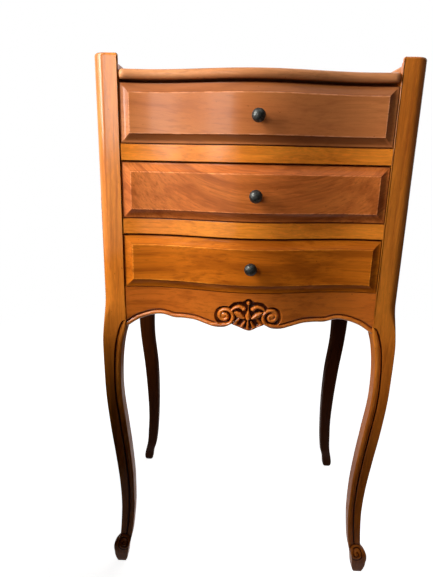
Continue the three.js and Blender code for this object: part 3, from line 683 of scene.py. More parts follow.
def front_leg_ring(height, outer, inner, slope, hollow):
    """Ring of a front leg from its outer corner across its face to its back: x, depth, and stain value with
    painted shade in the groove and the scroll.
    """
    share = height / LEG_HEIGHT
    side = POST_SIDE + outer - inner
    onto_post = smooth(share, *CORNER_SHARES)
    on_leg = 1 - onto_post
    beaded = smooth(share, *BEAD_FOOT_SHARES) * (1 - smooth(share, *BEAD_TOP_SHARES))
    toe = smooth(height, *TOE_RISE) * (1 - smooth(height, *TOE_FALL))
    corner = ARRIS + TOE_ROUND * toe + (POST_CORNER - ARRIS + min(0, outer)) * onto_post
    back = POST_EDGE + (BACK_ROUND_SHARE * side - POST_EDGE) * on_leg
    heel = POST_EDGE + (HEEL_SHARE * side - POST_EDGE) * (1 - smooth(share, *HEEL_SHARES))
    groove_in = side - LEG_BEAD_WIDTH * slope * bead_share(share)
    flat = np.linspace(corner, groove_in - LEG_GROOVE_WIDTH, FACE_POINTS + 2)[1:-1]
    parts = [
        (arc(corner, corner, corner, 0, CORNER_POINTS - 1), EDGE_WEAR * on_leg * WORN_CORNER),
        (np.stack([flat, np.zeros_like(flat)], -1), 0),
        leg_groove(groove_in, beaded),
        (leg_bead(side, groove_in, beaded), EDGE_WEAR * beaded * WORN_BEAD),
        (leg_inside(side, back, hollow), 0),
        (arc(side - back - PANEL_INSET * hollow, side - back, back, 2, ROUND_STEPS), 0),
        (arc(heel, side - heel, heel, 3, ROUND_STEPS), 0),
    ]
    inwards, backwards = np.concatenate([points for points, _ in parts]).T
    stain_shade_and_wear = np.concatenate([np.broadcast_to(value, len(points)) for points, value in parts])
    x = HALF_WIDTH + outer - inwards
    depth = backwards - outer
    lift, dark = foot_scroll(x[SCROLLED], height)
    depth[SCROLLED] -= lift
    stain_shade_and_wear[SCROLLED] += dark
    return x, depth, stain_shade_and_wear


def rear_leg_ring(height, outer, inner, *_):
    """Ring of a rear leg, from its outer rear corner round: x, depth and stain."""
    side = POST_SIDE + outer - inner
    on_leg = 1 - smooth(height / LEG_HEIGHT, *CORNER_SHARES)
    soft = POST_EDGE + (BACK_ROUND_SHARE * side - POST_EDGE) * on_leg
    inwards, forwards = np.concatenate([
        arc(REAR_CORNER, REAR_CORNER, REAR_CORNER, 0, ROUND_STEPS),
        arc(side - soft, soft, soft, 1, ROUND_STEPS),
        arc(side - soft, side - soft, soft, 2, ROUND_STEPS),
        arc(soft, side - soft, soft, 3, ROUND_STEPS),
    ]).T
    return HALF_WIDTH + outer - inwards, CASE_DEPTH + outer - forwards, np.zeros(len(inwards))


def leg(node, sign, shares, ring, material):
    """Leg and post in one piece, kept within its solid's box."""
    rings, stain_shade_and_wear_rings = [], []
    for row in leg_rows(shares):
        x, depth, stain_shade_and_wear = ring(*row)
        rings.append(at(sign * x, depth, row[0]))
        stain_shade_and_wear_rings.append(stain_shade_and_wear)
    points, faces = tube(rings)
    points = np.clip(points, *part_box(node))
    piece(f"{node}_turned", node, points, faces, material, np.concatenate(stain_shade_and_wear_rings))


for side, sign in SIDES.items():
    leg(f"front_{side}_leg", sign, FRONT_LEG_SHARES, front_leg_ring, POST_WOOD)
    leg(f"rear_{side}_leg", sign, REAR_LEG_SHARES, rear_leg_ring, REAR_WOOD)


# Apron: shares of its half width and of its drop at points of the scalloped edge
APRON_EDGE_SHARES = [
    (0, 1), (0.08, 0.9), (0.13, 0.862), (0.19, 0.936), (0.27, 0.956), (0.34, 0.905), (0.435, 0.826),
    (0.53, 0.81), (0.61, 0.814), (0.7, 0.748), (0.78, 0.768), (0.893, 0.889), (0.973, 1.05), (1, 1.11),
]
EDGE_SAMPLES = 12

# Carving on the right half, in millimetres from its middle and above the floor: each stroke's points
# with their half widths, and how far its top stands over the cut-back ground
MM = 0.001
GROUND_DEPTH = 3.6
VOLUTE = (29.8, 412.4)
VOLUTE_RADII = [12.3, 10.6, 8.4, 6.5, 5.0, 3.4, 2.0, 0.8]
VOLUTE_WIDTHS = [2.8, 2.5, 2.7, 3.3, 3.1, 2.4, 1.8, 1.2]
VOLUTE_RISE = 4.2
VOLUTE_EYE = (31, 413.2, 4.9)
VOLUTE_SAMPLES = 90
VOLUTE_LEAD = (50, 46, 42, 38, 34)
STROKES = [
    ([(21.4, 420.2, 1.2), (18.8, 422.9, 1.9), (15.6, 424.8, 2.3), (11.8, 425.7, 2.5), (8.6, 424.9, 2.7),
      (6.4, 423, 2.9)], 4.1),
    ([(6, 422.8, 3.2)], 4.8),
    ([(0, 420, 0.6), (0, 427, 0.6)], 2.5),
    ([(0, 429.4, 1.8), (0, 430.8, 2.7), (0, 432, 1.9)], 4.2),
    ([(0, 420.5, 1.1), (0, 417.5, 2.3), (0, 413.5, 3.8), (0, 410.5, 3.4), (0, 408.4, 1.6)], 4.5),
    ([(5.4, 410.8, 1.8), (8.2, 412.2, 3.2), (11.6, 414.4, 4.2), (14.6, 416.6, 3.2), (17, 418, 1)], 4.4),
    ([(0, 405.6, 1.3), (0, 400, 1.9), (0, 394.5, 2.4)], 3.6),
    ([(4, 406, 1.2), (6.6, 401, 2.3), (8.8, 396.5, 3)], 3.4),
    ([(11.5, 409, 1.8), (15.4, 404, 2.8), (17.5, 400.5, 3)], 2.2),
]

# Cut-back ground of the carving: lines with the reach round them, and how softly it ends there
GROUNDS = [
    ([(29.8, 412.4)], 13.4),
    ([(20.5, 420), (15.4, 425), (10, 426), (5, 424)], 6.8),
    ([(0, 422), (0, 430.6)], 5.9),
    ([(0, 418), (0, 396)], 16.5),
    ([(12, 414), (20, 406)], 8.5),
]
GROUND_INSIDE = 1
GROUND_OUTSIDE = 0.4

# Millimetres across the middle and above the edge in which the ground gives way to the rim
CARVED_MIDDLE = (15, 21)
CARVED_RIM = (0.4, 3.4)

# Stain and painted shade of the carving: on its ground, how fast it falls with the height of the top, and
# crests worn pale with a painted highlight
GROUND_STAIN_AND_SHADE = 1.1
GROUND_STAIN_AND_SHADE_FALL = 1.5
CARVED_WEAR_AND_HIGHLIGHT = 0.4
CARVED_CRESTS = (0.85, 1.1)

# Where the carving lies in metres: how far its middle is off the chest's, which the edge follows
# between these distances, and the half width with finer columns, towards whose end it fades
CARVING_SHIFT = -0.0017
SHIFT_START = (0, 0.015)
SHIFT_END = (0.045, 0.08)
CARVED_HALF = 0.05
CARVED_FADE = (0.037, 0.046)

# Columns and rows of the apron's mesh
CARVED_COLUMNS = 240
FLANK_COLUMNS = 64
FACE_ROWS = 99
BEAD_ROWS = 12
GROOVE_ROWS = 5
BEAD_TURNS = (-0.5, 0.42)
CARVED_BEAD_SHARE = 0.5

# From the bead's foot over its crest, worn pale with a painted highlight, and through the groove with
# painted shade; and wear on the upper edge
BEAD_WEAR_AND_HIGHLIGHT = -0.75
GROOVE_SHADES = [0.3, 0.9, 0.9, 0.7, 0.4, 0.1]
UPPER_WEAR = -0.5
UPPER_EDGE = (0.985, 1)
APRON_SHARP = 50


def edge_height(x):
    """Height of the apron's scalloped lower edge at x."""
    span = HALF_OPENING - FIT
    half = [(share * span, APRON_TOP - drop * APRON_DROP) for share, drop in APRON_EDGE_SHARES]
    line = uniform_curve([(-a, b) for a, b in half[:0:-1]] + half, EDGE_SAMPLES)
    shift = CARVING_SHIFT * (1 - smooth(np.abs(x), *SHIFT_END)) * smooth(np.abs(x), *SHIFT_START)
    return np.interp(x - shift, line[:, 0], line[:, 1])


def beyond(points, x, z):
    """How far each place lies from a line through points, in half widths of the line there."""
    best = np.full(x.shape, np.inf)
    points = np.array(points, float)
    if len(points) == 1:
        return np.hypot(x - points[0, 0], z - points[0, 1]) / points[0, 2]
    for a, b in zip(points, points[1:]):
        run = b[:2] - a[:2]
        t = np.clip(((x - a[0]) * run[0] + (z - a[1]) * run[1]) / run.dot(run), 0, 1)
        distance = np.hypot(x - a[0] - t * run[0], z - a[1] - t * run[1])
        best = np.minimum(best, distance / (a[2] + (b[2] - a[2]) * t))
    return best


def volute_line():
    """The edge bead's way into a volute and round to its eye, with its half widths."""
    turns = np.linspace(0, len(VOLUTE_RADII) - 1, VOLUTE_SAMPLES)
    radius = np.interp(turns, range(len(VOLUTE_RADII)), VOLUTE_RADII)
    width = np.interp(turns, range(len(VOLUTE_WIDTHS)), VOLUTE_WIDTHS)
    angle = -math.pi / 2 * (1 + turns)
    curl = np.stack([VOLUTE[0] + radius * np.cos(angle), VOLUTE[1] + radius * np.sin(angle), width], -1)
    lead = [(x, (edge_height(x * MM) + APRON_BEAD) / MM, VOLUTE_WIDTHS[0]) for x in VOLUTE_LEAD]
    return np.concatenate([lead, curl])


def carved_ground(across, up, above_edge):
    """Share of the ground's depth at each place, from 0 on the plain face to 1 between the strokes."""
    ground = np.zeros_like(across)
    for points, reach in GROUNDS:
        distance = beyond([(*point, reach) for point in points], across, up) * reach
        ground = np.maximum(ground, 1 - smooth(distance, reach - GROUND_INSIDE, reach + GROUND_OUTSIDE))
    middle = 1 - smooth(across, *CARVED_MIDDLE)
    return ground * (1 - middle * (1 - smooth(above_edge, *CARVED_RIM)))


def carving(x, z, above_edge):
    """How far the carved middle sinks below the apron's face, in metres, and how dark it is: stain and
    painted shade on the ground, wear and a painted highlight on the crests.
    """
    across, up = np.abs(x - CARVING_SHIFT) / MM, z / MM
    ground = carved_ground(across, up, above_edge / MM)
    top = np.zeros_like(across)
    for points, rise in [(volute_line(), VOLUTE_RISE), ([VOLUTE_EYE], VOLUTE_RISE), *STROKES]:
        top = np.maximum(top, rise * np.sqrt(np.clip(1 - beyond(points, across, up) ** 2, 0, 1)))
    sunk = np.maximum(ground * GROUND_DEPTH - top, 0) - np.maximum(top - GROUND_DEPTH, 0)
    height = top / GROUND_DEPTH
    hollows = ground * np.clip(GROUND_STAIN_AND_SHADE - GROUND_STAIN_AND_SHADE_FALL * height, 0, 1)
    return sunk * MM, hollows - CARVED_WEAR_AND_HIGHLIGHT * ground * smooth(height, *CARVED_CRESTS)


def apron_edge():
    """Rise, depth and stain value of each row from the edge bead's foot to the end of the groove: wear with
    a painted highlight on the bead, painted shade in the groove.
    """
    turns = np.linspace(*BEAD_TURNS, BEAD_ROWS) * math.pi
    rise = APRON_BEAD * (1 + np.sin(turns))
    across = np.linspace(0, 1, GROOVE_ROWS + 1)[1:]
    rises = np.concatenate([rise, rise[-1] + GROOVE_WIDTH * across])
    backs = np.concatenate([APRON_BEAD * (1 - np.cos(turns)), GROOVE_DEPTH * (1 - across ** 2)])
    crest = BEAD_WEAR_AND_HIGHLIGHT * np.sin(np.linspace(0, 1, BEAD_ROWS - 1) * math.pi)
    return rises, backs, np.concatenate([crest, GROOVE_SHADES])


def apron():
    """Serpentine apron with a scalloped bead edge and its carved middle."""
    inner = np.linspace(-CARVED_HALF, CARVED_HALF, CARVED_COLUMNS)
    flank = np.linspace(CARVED_HALF, HALF_OPENING - FIT, FLANK_COLUMNS)[1:]
    xs = np.concatenate([-flank[::-1], inner, flank])
    edge = edge_height(xs)
    slope = np.hypot(1, np.gradient(edge, xs))
    rises, backs, edge_shade_and_wear = apron_edge()
    above = np.linspace(0, 1, FACE_ROWS + 1)[1:]
    near = edge[:, None] + rises * slope[:, None]
    far = near[:, -1:] + (APRON_TOP - near[:, -1:]) * above
    z = np.concatenate([near, far], 1)
    x = np.broadcast_to(xs[:, None], z.shape)
    above_edge = z - edge[:, None]

    carved = 1 - smooth(np.abs(x - CARVING_SHIFT), *CARVED_FADE)
    sunk, dark = carving(x, z, above_edge)
    foot = APRON_BEAD * (1 - np.sin(np.clip(above_edge / APRON_BEAD, 0, 1) * math.pi / 2))
    plain = np.concatenate([backs, np.zeros(FACE_ROWS)])
    depth = front(x) + plain * (1 - carved) + (sunk + foot * CARVED_BEAD_SHARE) * carved
    plain_shade_and_wear = np.concatenate([edge_shade_and_wear, UPPER_WEAR * smooth(above, *UPPER_EDGE)])
    stain_shade_and_wear = plain_shade_and_wear * (1 - carved) + dark * carved

    back = np.stack([at(xs, APRON_THICKNESS, APRON_TOP), at(xs, APRON_THICKNESS, edge)], 1)
    points, faces = tube(np.concatenate([at(x, depth, z), back], 1))
    stain_shade_and_wear = np.pad(stain_shade_and_wear, ((0, 0), (0, 2)))
    piece("front_apron_carved", "front_apron", points, faces, APRON_WOOD, stain_shade_and_wear, APRON_SHARP)


apron()


# Rails. Their long edges are eased: how far back and up each point of an edge lies, in parts of
# EASE, and the painted shade of the points from the rail's back over the edge, beside the drawer gaps
SERPENTINE_STEPS = 96
EASE = 0.0006
EASED_EDGE = [(1, 0), (0.3, 0.3), (0, 1), (0, 1.6)]
EASED_EDGE_SHADES = [0, 1, 0.9, 0.5, 0]


def across_front(half, steps=SERPENTINE_STEPS):
    return np.linspace(-half, half, steps + 1)


def rail(node):
    """Serpentine rail between two drawers, with its long edges eased."""
    low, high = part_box(node)
    eased = [(EASE * back, EASE * up) for back, up in EASED_EDGE]
    rings = []
    for x in across_front(HALF_OPENING - FIT):
        depth = float(front(x))
        section = [(RAIL_DEPTH, low.z)]
        section += [(depth + back, low.z + up) for back, up in eased]
        section += [(depth + back, high.z - up) for back, up in eased[::-1]]
        section.append((RAIL_DEPTH, high.z))
        rings.append(np.array([at(x, back, z) for back, z in section]))
    points, faces = tube(rings)
    stain_shade_and_wear = np.tile(EASED_EDGE_SHADES + EASED_EDGE_SHADES[::-1], len(rings))
    piece(f"{node}_eased", node, points, faces, RAIL_WOOD, stain_shade_and_wear)


rail("upper_drawer_rail")
rail("lower_drawer_rail")


# Top board: shadow gap between its nose and the drawer below, and steps of its rounds
NOSE_GAP = 0.002
NOSE_STEPS = 16
RETURN_STEPS = 8


def top_board():
    """Top board with a bullnose front that turns back at the posts, and its wings behind them."""
    low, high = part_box("top_panel")
    half = HALF_OPENING - FIT
    straight = half - TOP_RETURN
    radius = (high.z - low.z - NOSE_GAP) / 2
    returns = half - TOP_RETURN * (1 - np.sin(np.linspace(0, 0.5, RETURN_STEPS + 1) * math.pi))
    turns = np.linspace(0, 1, NOSE_STEPS + 1) * math.pi
    rings = []
    for x in np.concatenate([-returns[::-1], across_front(straight)[1:-1], returns]):
        turn = np.clip((abs(x) - straight) / TOP_RETURN, 0, 1)
        edge = float(front(x)) - TOP_OVERHANG + TOP_RETURN * (1 - math.sqrt(1 - turn * turn))
        nose_z = low.z + NOSE_GAP + radius * (1 - np.cos(turns))
        nose = at(x, edge + radius * (1 - np.sin(turns)), nose_z)
        rear = at(x, BACK_RAIL_FRONT - FIT, np.array([high.z, low.z]))
        rings.append(np.concatenate([nose, rear]))
    wings = [top_wing(sign, half, low.z, high.z) for sign in SIDES.values()]
    points, faces = joined(tube(rings), *wings)
    piece("top_board_bullnose", "top_panel", points, faces, TOP_WOOD)


def top_wing(sign, half, low, high):
    """Part of the top board that reaches out to a side panel, between the posts."""
    left, right = sorted((sign * half, sign * (HALF_OPENING + PANEL_INSET - FIT)))
    return block((left, POST_SIDE + FIT, low), (right, CASE_DEPTH - POST_SIDE - FIT, high))


top_board()


# Side panels and back rails: boards with a round top edge, or with all four edges eased. The side
# panels' lower edge is a curve whose ends pull along it by a share of its half span
BOARD_EASE = 0.0012
# A board is a little darker at its foot and paler at its top
BOARD_TONES = [0.1, 0.1, -0.3, -0.3]
QUARTER_POINTS = 5
ARCH_PULL = 1 / 3
CREST_PULL = 1 / 2
ARCH_SAMPLES = 50
PANEL_STEPS = 60
BACK_RAIL_STEPS = 12


def board_section(low, high, round_top):
    """Section of a board as distances through it and heights, with its foot a little darker and its top
    paler.
    """
    quarter = np.linspace(0, math.pi / 2, QUARTER_POINTS)
    up, over = 1 - np.sin(quarter), 1 - np.cos(quarter)
    radius = BOARD_THICKNESS / 2 if round_top else BOARD_EASE
    near_foot = np.stack([BOARD_EASE * over, low + BOARD_EASE * up], -1)
    far_foot = np.stack([BOARD_THICKNESS - BOARD_EASE * up, low + BOARD_EASE * over], -1)
    far_top = np.stack([BOARD_THICKNESS - radius * over, high - radius * up], -1)
    near_top = np.stack([radius * up, high - radius * over], -1)
    return np.concatenate([near_foot, far_foot, far_top, near_top]), np.repeat(BOARD_TONES, QUARTER_POINTS)


def skirt_height(depth, middle, span):
    """Height of a side panel's arched lower edge."""
    t = np.linspace(0, 1, ARCH_SAMPLES)
    rise = 3 * (1 - t) * t * t + t ** 3
    along = 3 * (1 - t) ** 2 * t * ARCH_PULL + 3 * (1 - t) * t * t * (1 - CREST_PULL) + t ** 3
    return APRON_TOP - SKIRT_DROP + SKIRT_ARCH * np.interp(1 - abs(depth - middle) / span, along, rise)


def side_panel(side, sign):
    """Side panel between the posts, with a round top edge and an arched lower one."""
    near, far = POST_SIDE + FIT, CASE_DEPTH - POST_SIDE - FIT
    middle, span = (near + far) / 2, (far - near) / 2
    rings, stain_shade_and_wear_rings = [], []
    for depth in np.linspace(near, far, PANEL_STEPS + 1):
        section, wear = board_section(skirt_height(depth, middle, span), HEIGHT_OF_GALLERY, True)
        rings.append(at(sign * (HALF_OPENING + PANEL_INSET + section[:, 0]), depth, section[:, 1]))
        stain_shade_and_wear_rings.append(wear)
    points, faces = tube(rings)
    node = f"{side}_side_panel"
    piece(f"{node}_arched", node, points, faces, SIDE_WOOD, np.concatenate(stain_shade_and_wear_rings))


def back_rail(node, round_top):
    """Straight rail between the rear posts."""
    low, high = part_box(node)
    section, wear = board_section(low.z, high.z, round_top)
    xs = across_front(HALF_OPENING - FIT, BACK_RAIL_STEPS)
    points, faces = tube([at(x, BACK_RAIL_FRONT + section[:, 0], section[:, 1]) for x in xs])
    piece(f"{node}_eased", node, points, faces, RAIL_WOOD, np.tile(wear, len(xs)))


for side, sign in SIDES.items():
    side_panel(side, sign)
back_rail("back_gallery_rail", True)
back_rail("back_bottom_rail", False)


# Drawer fronts: rims from the back to the edge, up the hollow bevel, over the quirk and onto the
# field. QUIRK has how far in each of its rims lies, and how much of the quirk's rise is left there
BACK_RIMS = 4
BEVEL_RIMS = 12
BEVEL_POWER = 1.7
FRONT_EDGE = 0.0005
QUIRK = ((0.0003, 0.4), (0.0006, 0.12), (0.0011, 0))
FIELD_EDGE = 0.002
TOP_CLEARANCE = 0.0007
FRONT_SHARP = 8

# Painted shade of a front: behind its edge in the gap, on the edge, and at the foot and the top of the
# bevel; on the quirk, wear and a painted highlight
HOUSING_SHADE = 0.8
EDGE_SHADE = 1.0
BEVEL_FOOT_SHADE = 0.5
BEVEL_TOP_SHADE = 0.3
QUIRK_WEAR_AND_HIGHLIGHT = -0.9

# Shade on the lower bevels, and on the upper edge below the top's nose
UNDER_SHADE = {"upper": 0.44, "middle": 0.26, "lower": 0.08}
UNDER_RANGE = (0.05, 0.4)
NOSE_SHADE = 0.3


def rim(box, inset, xs, depth):
    """Ring round a drawer front, set in from its lower and upper edge."""
    low, high = box
    lower = at(xs, depth, low.z + inset)
    upper = at(xs, depth, high.z - inset - TOP_CLEARANCE)[::-1]
    return np.concatenate([lower, upper])


def raised_rim(box, inset, rise):
    """Ring set in all round, which stands proud of the serpentine by rise."""
    xs = across_front(box[1].x - inset)
    return rim(box, inset, xs, front(xs) - rise)


def front_rims(box):
    """Rings of a drawer front from its back to its field, each with its painted shade, and on the quirk its
    wear and painted highlight.
    """
    wide = across_front(box[1].x)
    housed = across_front(box[1].x - SIDE_THICKNESS - FIT)
    housing = FRONT_THICKNESS - HOUSING
    rims = [
        (rim(box, 0, housed, FRONT_THICKNESS), 0),
        (rim(box, 0, housed, housing), 0),
        (rim(box, 0, wide, housing), HOUSING_SHADE),
        (raised_rim(box, 0, -FRONT_EDGE), EDGE_SHADE),
    ]
    for share in np.linspace(0, 1, BEVEL_RIMS):
        inset = FRONT_EDGE + (BEVEL_WIDTH - FRONT_EDGE) * share
        foot = BEVEL_FOOT_SHADE * (1 - smooth(share, 0, 0.1))
        top = BEVEL_TOP_SHADE * smooth(share, 0.95, 1)
        rims.append((raised_rim(box, inset, (FIELD_RISE - QUIRK_RISE) * share ** BEVEL_POWER), foot + top))
    for inset, left in QUIRK:
        rims.append((raised_rim(box, BEVEL_WIDTH + inset, FIELD_RISE - left * QUIRK_RISE), QUIRK_WEAR_AND_HIGHLIGHT))
    rims.append((raised_rim(box, BEVEL_WIDTH + FIELD_EDGE, FIELD_RISE), 0))
    return rims


def shaded(row, stain_shade_and_wear_rings, count):
    """Painted shade, wear and painted highlight of each point, with more painted shade on the lower bevel
    and, at the top, below the nose.
    """
    stain_shade_and_wear = np.repeat(stain_shade_and_wear_rings, count).reshape(-1, count)
    bevel_end = BACK_RIMS + BEVEL_RIMS
    under = smooth(np.linspace(0, 1, BEVEL_RIMS), *UNDER_RANGE) * UNDER_SHADE[row]
    stain_shade_and_wear[BACK_RIMS:bevel_end, 1:SERPENTINE_STEPS] += under[:, None]
    if row == "upper":
        stain_shade_and_wear[:bevel_end, count // 2:] += NOSE_SHADE
    return stain_shade_and_wear


def strips(count, start):
    """Faces between the two long edges of a rim, wound to suit the end that it closes."""
    faces = []
    for i in range(count // 2 - 1):
        corners = (start + i, start + i + 1, start + count - 2 - i, start + count - 1 - i)
        faces.append(corners if start else corners[::-1])
    return faces


def drawer_front(row):
    """Front with a hollow bevel that rises to a raised field behind a small quirk."""
    node = f"{row}_drawer_front"
    rings, stain_shade_and_wear_rings = zip(*front_rims(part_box(node)))
    count = len(rings[0])
    points, faces = tube(rings)
    faces = faces[:-2] + strips(count, 0) + strips(count, len(points) - count)
    piece(f"{node}_bevelled", node, points, faces, FRONT_WOODS[row], shaded(row, stain_shade_and_wear_rings, count),
          FRONT_SHARP, f"{row}_drawer")


# Knobs: radius and distance from the drawer front up the profile
KNOB_PROFILE = [
    (0.005, 0), (0.0051, 0.0006), (0.0046, 0.0013), (0.0036, 0.0026), (0.0033, 0.0045), (0.0036, 0.0064),
    (0.0048, 0.0078), (0.0066, 0.0089), (0.0075, 0.0098), (0.00775, 0.0107), (0.0075, 0.0119),
    (0.0068, 0.0134), (0.0056, 0.0149), (0.004, 0.0161), (0.0022, 0.0168), (0.0008, 0.017),
]
KNOB_SIDES = 48
KNOB_SHARP = 60


def knob(row):
    """Domed knob that points to the front, turned round the middle of its solid."""
    node = f"{row}_knob"
    low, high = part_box(node)
    x, z = (low.x + high.x) / 2, (low.z + high.z) / 2
    angles = np.arange(KNOB_SIDES) * 2 * math.pi / KNOB_SIDES
    rings = []
    for radius, out in KNOB_PROFILE:
        y = np.full(KNOB_SIDES, high.y - out)
        rings.append(np.stack([x + radius * np.cos(angles), y, z + radius * np.sin(angles)], -1))
    points, faces = tube(rings)
    piece(f"{node}_domed", node, points, faces, PEWTER, None, KNOB_SHARP, f"{row}_drawer")


for row in ROWS:
    drawer_front(row)
    knob(row)


# Solids that keep their own shape
def dress(node, material):
    obj = frame["nodes"][node]
    obj.data.materials.clear()
    obj.data.materials.append(material)


for side in SIDES:
    for row in ROWS:
        dress(f"{row}_{side}_runner", INNER_WOOD)
        dress(f"{row}_drawer_{side}_side", INNER_WOOD)
    for end in ("front", "rear"):
        dress(f"{end}_{side}_glue_block", INNER_WOOD)
for row in ROWS:
    dress(f"{row}_drawer_back", INNER_WOOD)
    dress(f"{row}_drawer_bottom", PLY_WOOD)
    dress(f"{row}_knob_screw", STEEL)
dress("back_panel", PLY_WOOD)


# World: light on the object from the white background
AMBIENT = 0.07


def seen(tree):
    """1 for rays that show the background: from the camera, off a gloss or through glass."""
    rays = add(tree, "ShaderNodeLightPath").outputs
    shown = calculate(tree, "MAXIMUM", rays["Is Camera Ray"], rays["Is Glossy Ray"])
    return calculate(tree, "MAXIMUM", shown, rays["Is Transmission Ray"])


def world():
    scene_world = bpy.data.worlds.new("studio")
    bpy.context.scene.world = scene_world
    scene_world.use_nodes = True
    tree = scene_world.node_tree
    tree.nodes.clear()
    strength = calculate(tree, "MAXIMUM", seen(tree), AMBIENT)
    back = add(tree, "ShaderNodeBackground", {"Color": (1, 1, 1, 1), "Strength": strength})
    add(tree, "ShaderNodeOutputWorld", {"Surface": back.outputs[0]})


def stage_mesh(name, points, faces, material):
    """Mesh round the object that isn't part of it."""
    mesh = bpy.data.meshes.new(name)
    mesh.from_pydata(points, [], faces)
    mesh.materials.append(material)
    obj = bpy.data.objects.new(name, mesh)
    bpy.context.scene.collection.objects.link(obj)
    return obj


# Floor: the object's shadow shows near it and runs into the white background farther off
FLOOR_SIZE = 30.0
SHADOW_REACH = (0.5, 1.3)
FLOOR_LIFT = 0.93
FLOOR_SPECKS = 40.0


def floor_material():
    """Pale floor for the rays that show the background, and a grey one for the light that it throws."""
    material, tree = new_material("pale_floor")
    coords = add(tree, "ShaderNodeTexCoord").outputs["Object"]
    speck = spread(tree, noise(tree, coords, FLOOR_SPECKS), 0.3, 0.7)
    tint = blended(tree, speck, srgb(240, 239, 237), srgb(244, 244, 243))
    matt = add(tree, "ShaderNodeBsdfDiffuse", {"Color": tint})
    lift = add(tree, "ShaderNodeEmission", {"Color": (1, 1, 1, 1), "Strength": FLOOR_LIFT})
    near = add(tree, "ShaderNodeAddShader", {0: matt.outputs[0], 1: lift.outputs[0]})
    white = add(tree, "ShaderNodeEmission", {"Color": (1, 1, 1, 1), "Strength": 1.0})
    distance = add(tree, "ShaderNodeVectorMath", {0: coords}, operation="LENGTH").outputs["Value"]
    away = spread(tree, distance, *SHADOW_REACH)
    pale = add(tree, "ShaderNodeMixShader", {0: away, 1: near.outputs[0], 2: white.outputs[0]})
    grey = add(tree, "ShaderNodeBsdfDiffuse", {"Color": srgb(120, 116, 112)})
    mixed = {0: seen(tree), 1: grey.outputs[0], 2: pale.outputs[0]}
    finished(tree, add(tree, "ShaderNodeMixShader", mixed))
    return material


def floor():
    half = FLOOR_SIZE / 2
    corners = [(-half, -half, 0), (half, -half, 0), (half, half, 0), (-half, half, 0)]
    stage_mesh("floor", corners, [(0, 1, 2, 3)], floor_material())


# Lamps: angle to the left of straight ahead, height angle, distance from the lit point, size and power
LIT_POINT = (-0.05, -0.13, 0.6)
DAYLIGHT = (1, 0.99, 0.97)
LAMPS = {
    "window": (60, 28, 0.8, (0.25, 0.72), 9.6),
    "window_far": (78, 27, 1.35, (0.3, 1.05), 6.4),
    "sheen_wide": (26, 12, 1.35, (0.2, 0.6), 2.2),
    "sheen_edge": (19, 13, 1.35, (0.09, 0.5), 1.2),
    "rear_fill": (-140, 25, 2.2, (2.8, 2.8), 24.0),
}


def lamp(name, place, size, power):
    """Soft box that looks at the lit point."""
    data = bpy.data.lights.new(name, "AREA")
    data.shape = "RECTANGLE"
    data.size, data.size_y = size
    data.energy = power
    data.color = DAYLIGHT
    obj = bpy.data.objects.new(name, data)
    obj.visible_camera = False
    obj.location = place
    obj.rotation_euler = (Vector(LIT_POINT) - place).to_track_quat("-Z", "Y").to_euler()
    bpy.context.scene.collection.objects.link(obj)


def lamps():
    for name, (angle, level, distance, size, power) in LAMPS.items():
        turn, lift = math.radians(angle), math.radians(level)
        way = Vector((-math.sin(turn) * math.cos(lift), -math.cos(turn) * math.cos(lift), math.sin(lift)))
        lamp(name, Vector(LIT_POINT) + way * distance, size, power)


# Dark card beside the left front leg that keeps the window's light off the lower legs
CARD_ANGLE = 60
CARD_DISTANCE = 0.11
CARD_SPAN = (-0.35, 0.5)
CARD_HEIGHT = 0.455

# Dark screen behind the camera and to the right, so that the varnish there reflects a dark room
SCREEN_PLAN = [(-0.2, -0.95), (0.9, -0.95), (0.9, 0.6)]
SCREEN_HEIGHT = 1.8

# Low dark screen behind the legs, which their inner sides reflect
LOW_SCREEN_PLAN = [(-0.9, 0.3), (-0.6, 0.55), (0.6, 0.55), (0.9, 0.3)]
LOW_SCREEN_HEIGHT = 0.5

# Dark mat before the object that only its varnish reflects: left, near, right and far edge, level
MAT_EDGES = (-0.12, -0.94, 0.88, -0.2)
MAT_LEVEL = 0.002


def hidden_board(name, points, faces, colour):
    """Board round the object that the camera doesn't see."""
    material, tree = new_material(name)
    finished(tree, add(tree, "ShaderNodeBsdfDiffuse", {"Color": srgb(*colour)}))
    obj = stage_mesh(name, points, faces, material)
    obj.visible_camera = False
    return obj


def standing(name, plan, height, colour):
    """Hidden board that stands on the floor along some points."""
    points = [(*place, level) for place in plan for level in (0, height)]
    faces = [(i, i + 2, i + 3, i + 1) for i in range(0, len(points) - 2, 2)]
    return hidden_board(name, points, faces, colour)


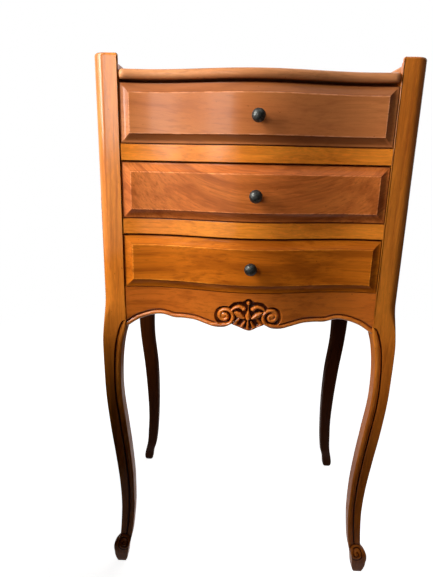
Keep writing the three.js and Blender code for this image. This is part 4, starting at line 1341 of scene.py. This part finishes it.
def boards():
    turn = math.radians(CARD_ANGLE)
    foot = np.array([-HALF_OPENING - POST_SIDE / 2 - CARD_DISTANCE * math.sin(turn),
                     FACE_Y - CARD_DISTANCE * math.cos(turn)])
    along = np.array([math.cos(turn), -math.sin(turn)])
    standing("dark_card", [tuple(foot + along * reach) for reach in CARD_SPAN], CARD_HEIGHT, (40, 38, 36))
    standing("dark_screen", SCREEN_PLAN, SCREEN_HEIGHT, (120, 112, 106))
    left, near, right, far = MAT_EDGES
    corners = [(x, y, MAT_LEVEL) for x, y in ((left, near), (right, near), (right, far), (left, far))]
    mat = hidden_board("dark_mat", corners, [(0, 1, 2, 3)], (90, 84, 78))
    mat.visible_shadow = False
    low_screen = standing("low_rear_screen", LOW_SCREEN_PLAN, LOW_SCREEN_HEIGHT, (80, 66, 56))
    low_screen.visible_shadow = False


world()
floor()
lamps()
boards()


# Camera: place from the posts' front face, turn from straight ahead, and focal length, all found
# from where the drawers' corners, the posts and the feet lie in the photograph
PHOTO_HEIGHT = 577
FOCAL_PIXELS = 459.8
SENSOR_WIDTH = 36
CAMERA_PLACE = (-0.0256, -0.5699, 0.603)
CAMERA_YAW, CAMERA_PITCH, CAMERA_ROLL = (math.radians(angle) for angle in (-1.752, 15.511, -1.182))


def camera():
    data = bpy.data.cameras.new("camera")
    data.sensor_width = SENSOR_WIDTH
    data.lens = SENSOR_WIDTH * FOCAL_PIXELS / PHOTO_HEIGHT
    ahead = Vector((math.sin(CAMERA_YAW) * math.cos(CAMERA_PITCH),
                    math.cos(CAMERA_YAW) * math.cos(CAMERA_PITCH), -math.sin(CAMERA_PITCH)))
    level = Vector((math.cos(CAMERA_YAW), -math.sin(CAMERA_YAW), 0))
    down = ahead.cross(level)
    right = level * math.cos(CAMERA_ROLL) + down * math.sin(CAMERA_ROLL)
    down = down * math.cos(CAMERA_ROLL) - level * math.sin(CAMERA_ROLL)
    place = Vector((CAMERA_PLACE[0], FACE_Y + CAMERA_PLACE[1], CAMERA_PLACE[2]))
    obj = bpy.data.objects.new("camera", data)
    obj.matrix_world = Matrix.Translation(place) @ Matrix((right, -down, -ahead)).transposed().to_4x4()
    bpy.context.scene.collection.objects.link(obj)
    bpy.context.scene.camera = obj


camera()
bpy.context.scene.view_settings.view_transform = "Standard"
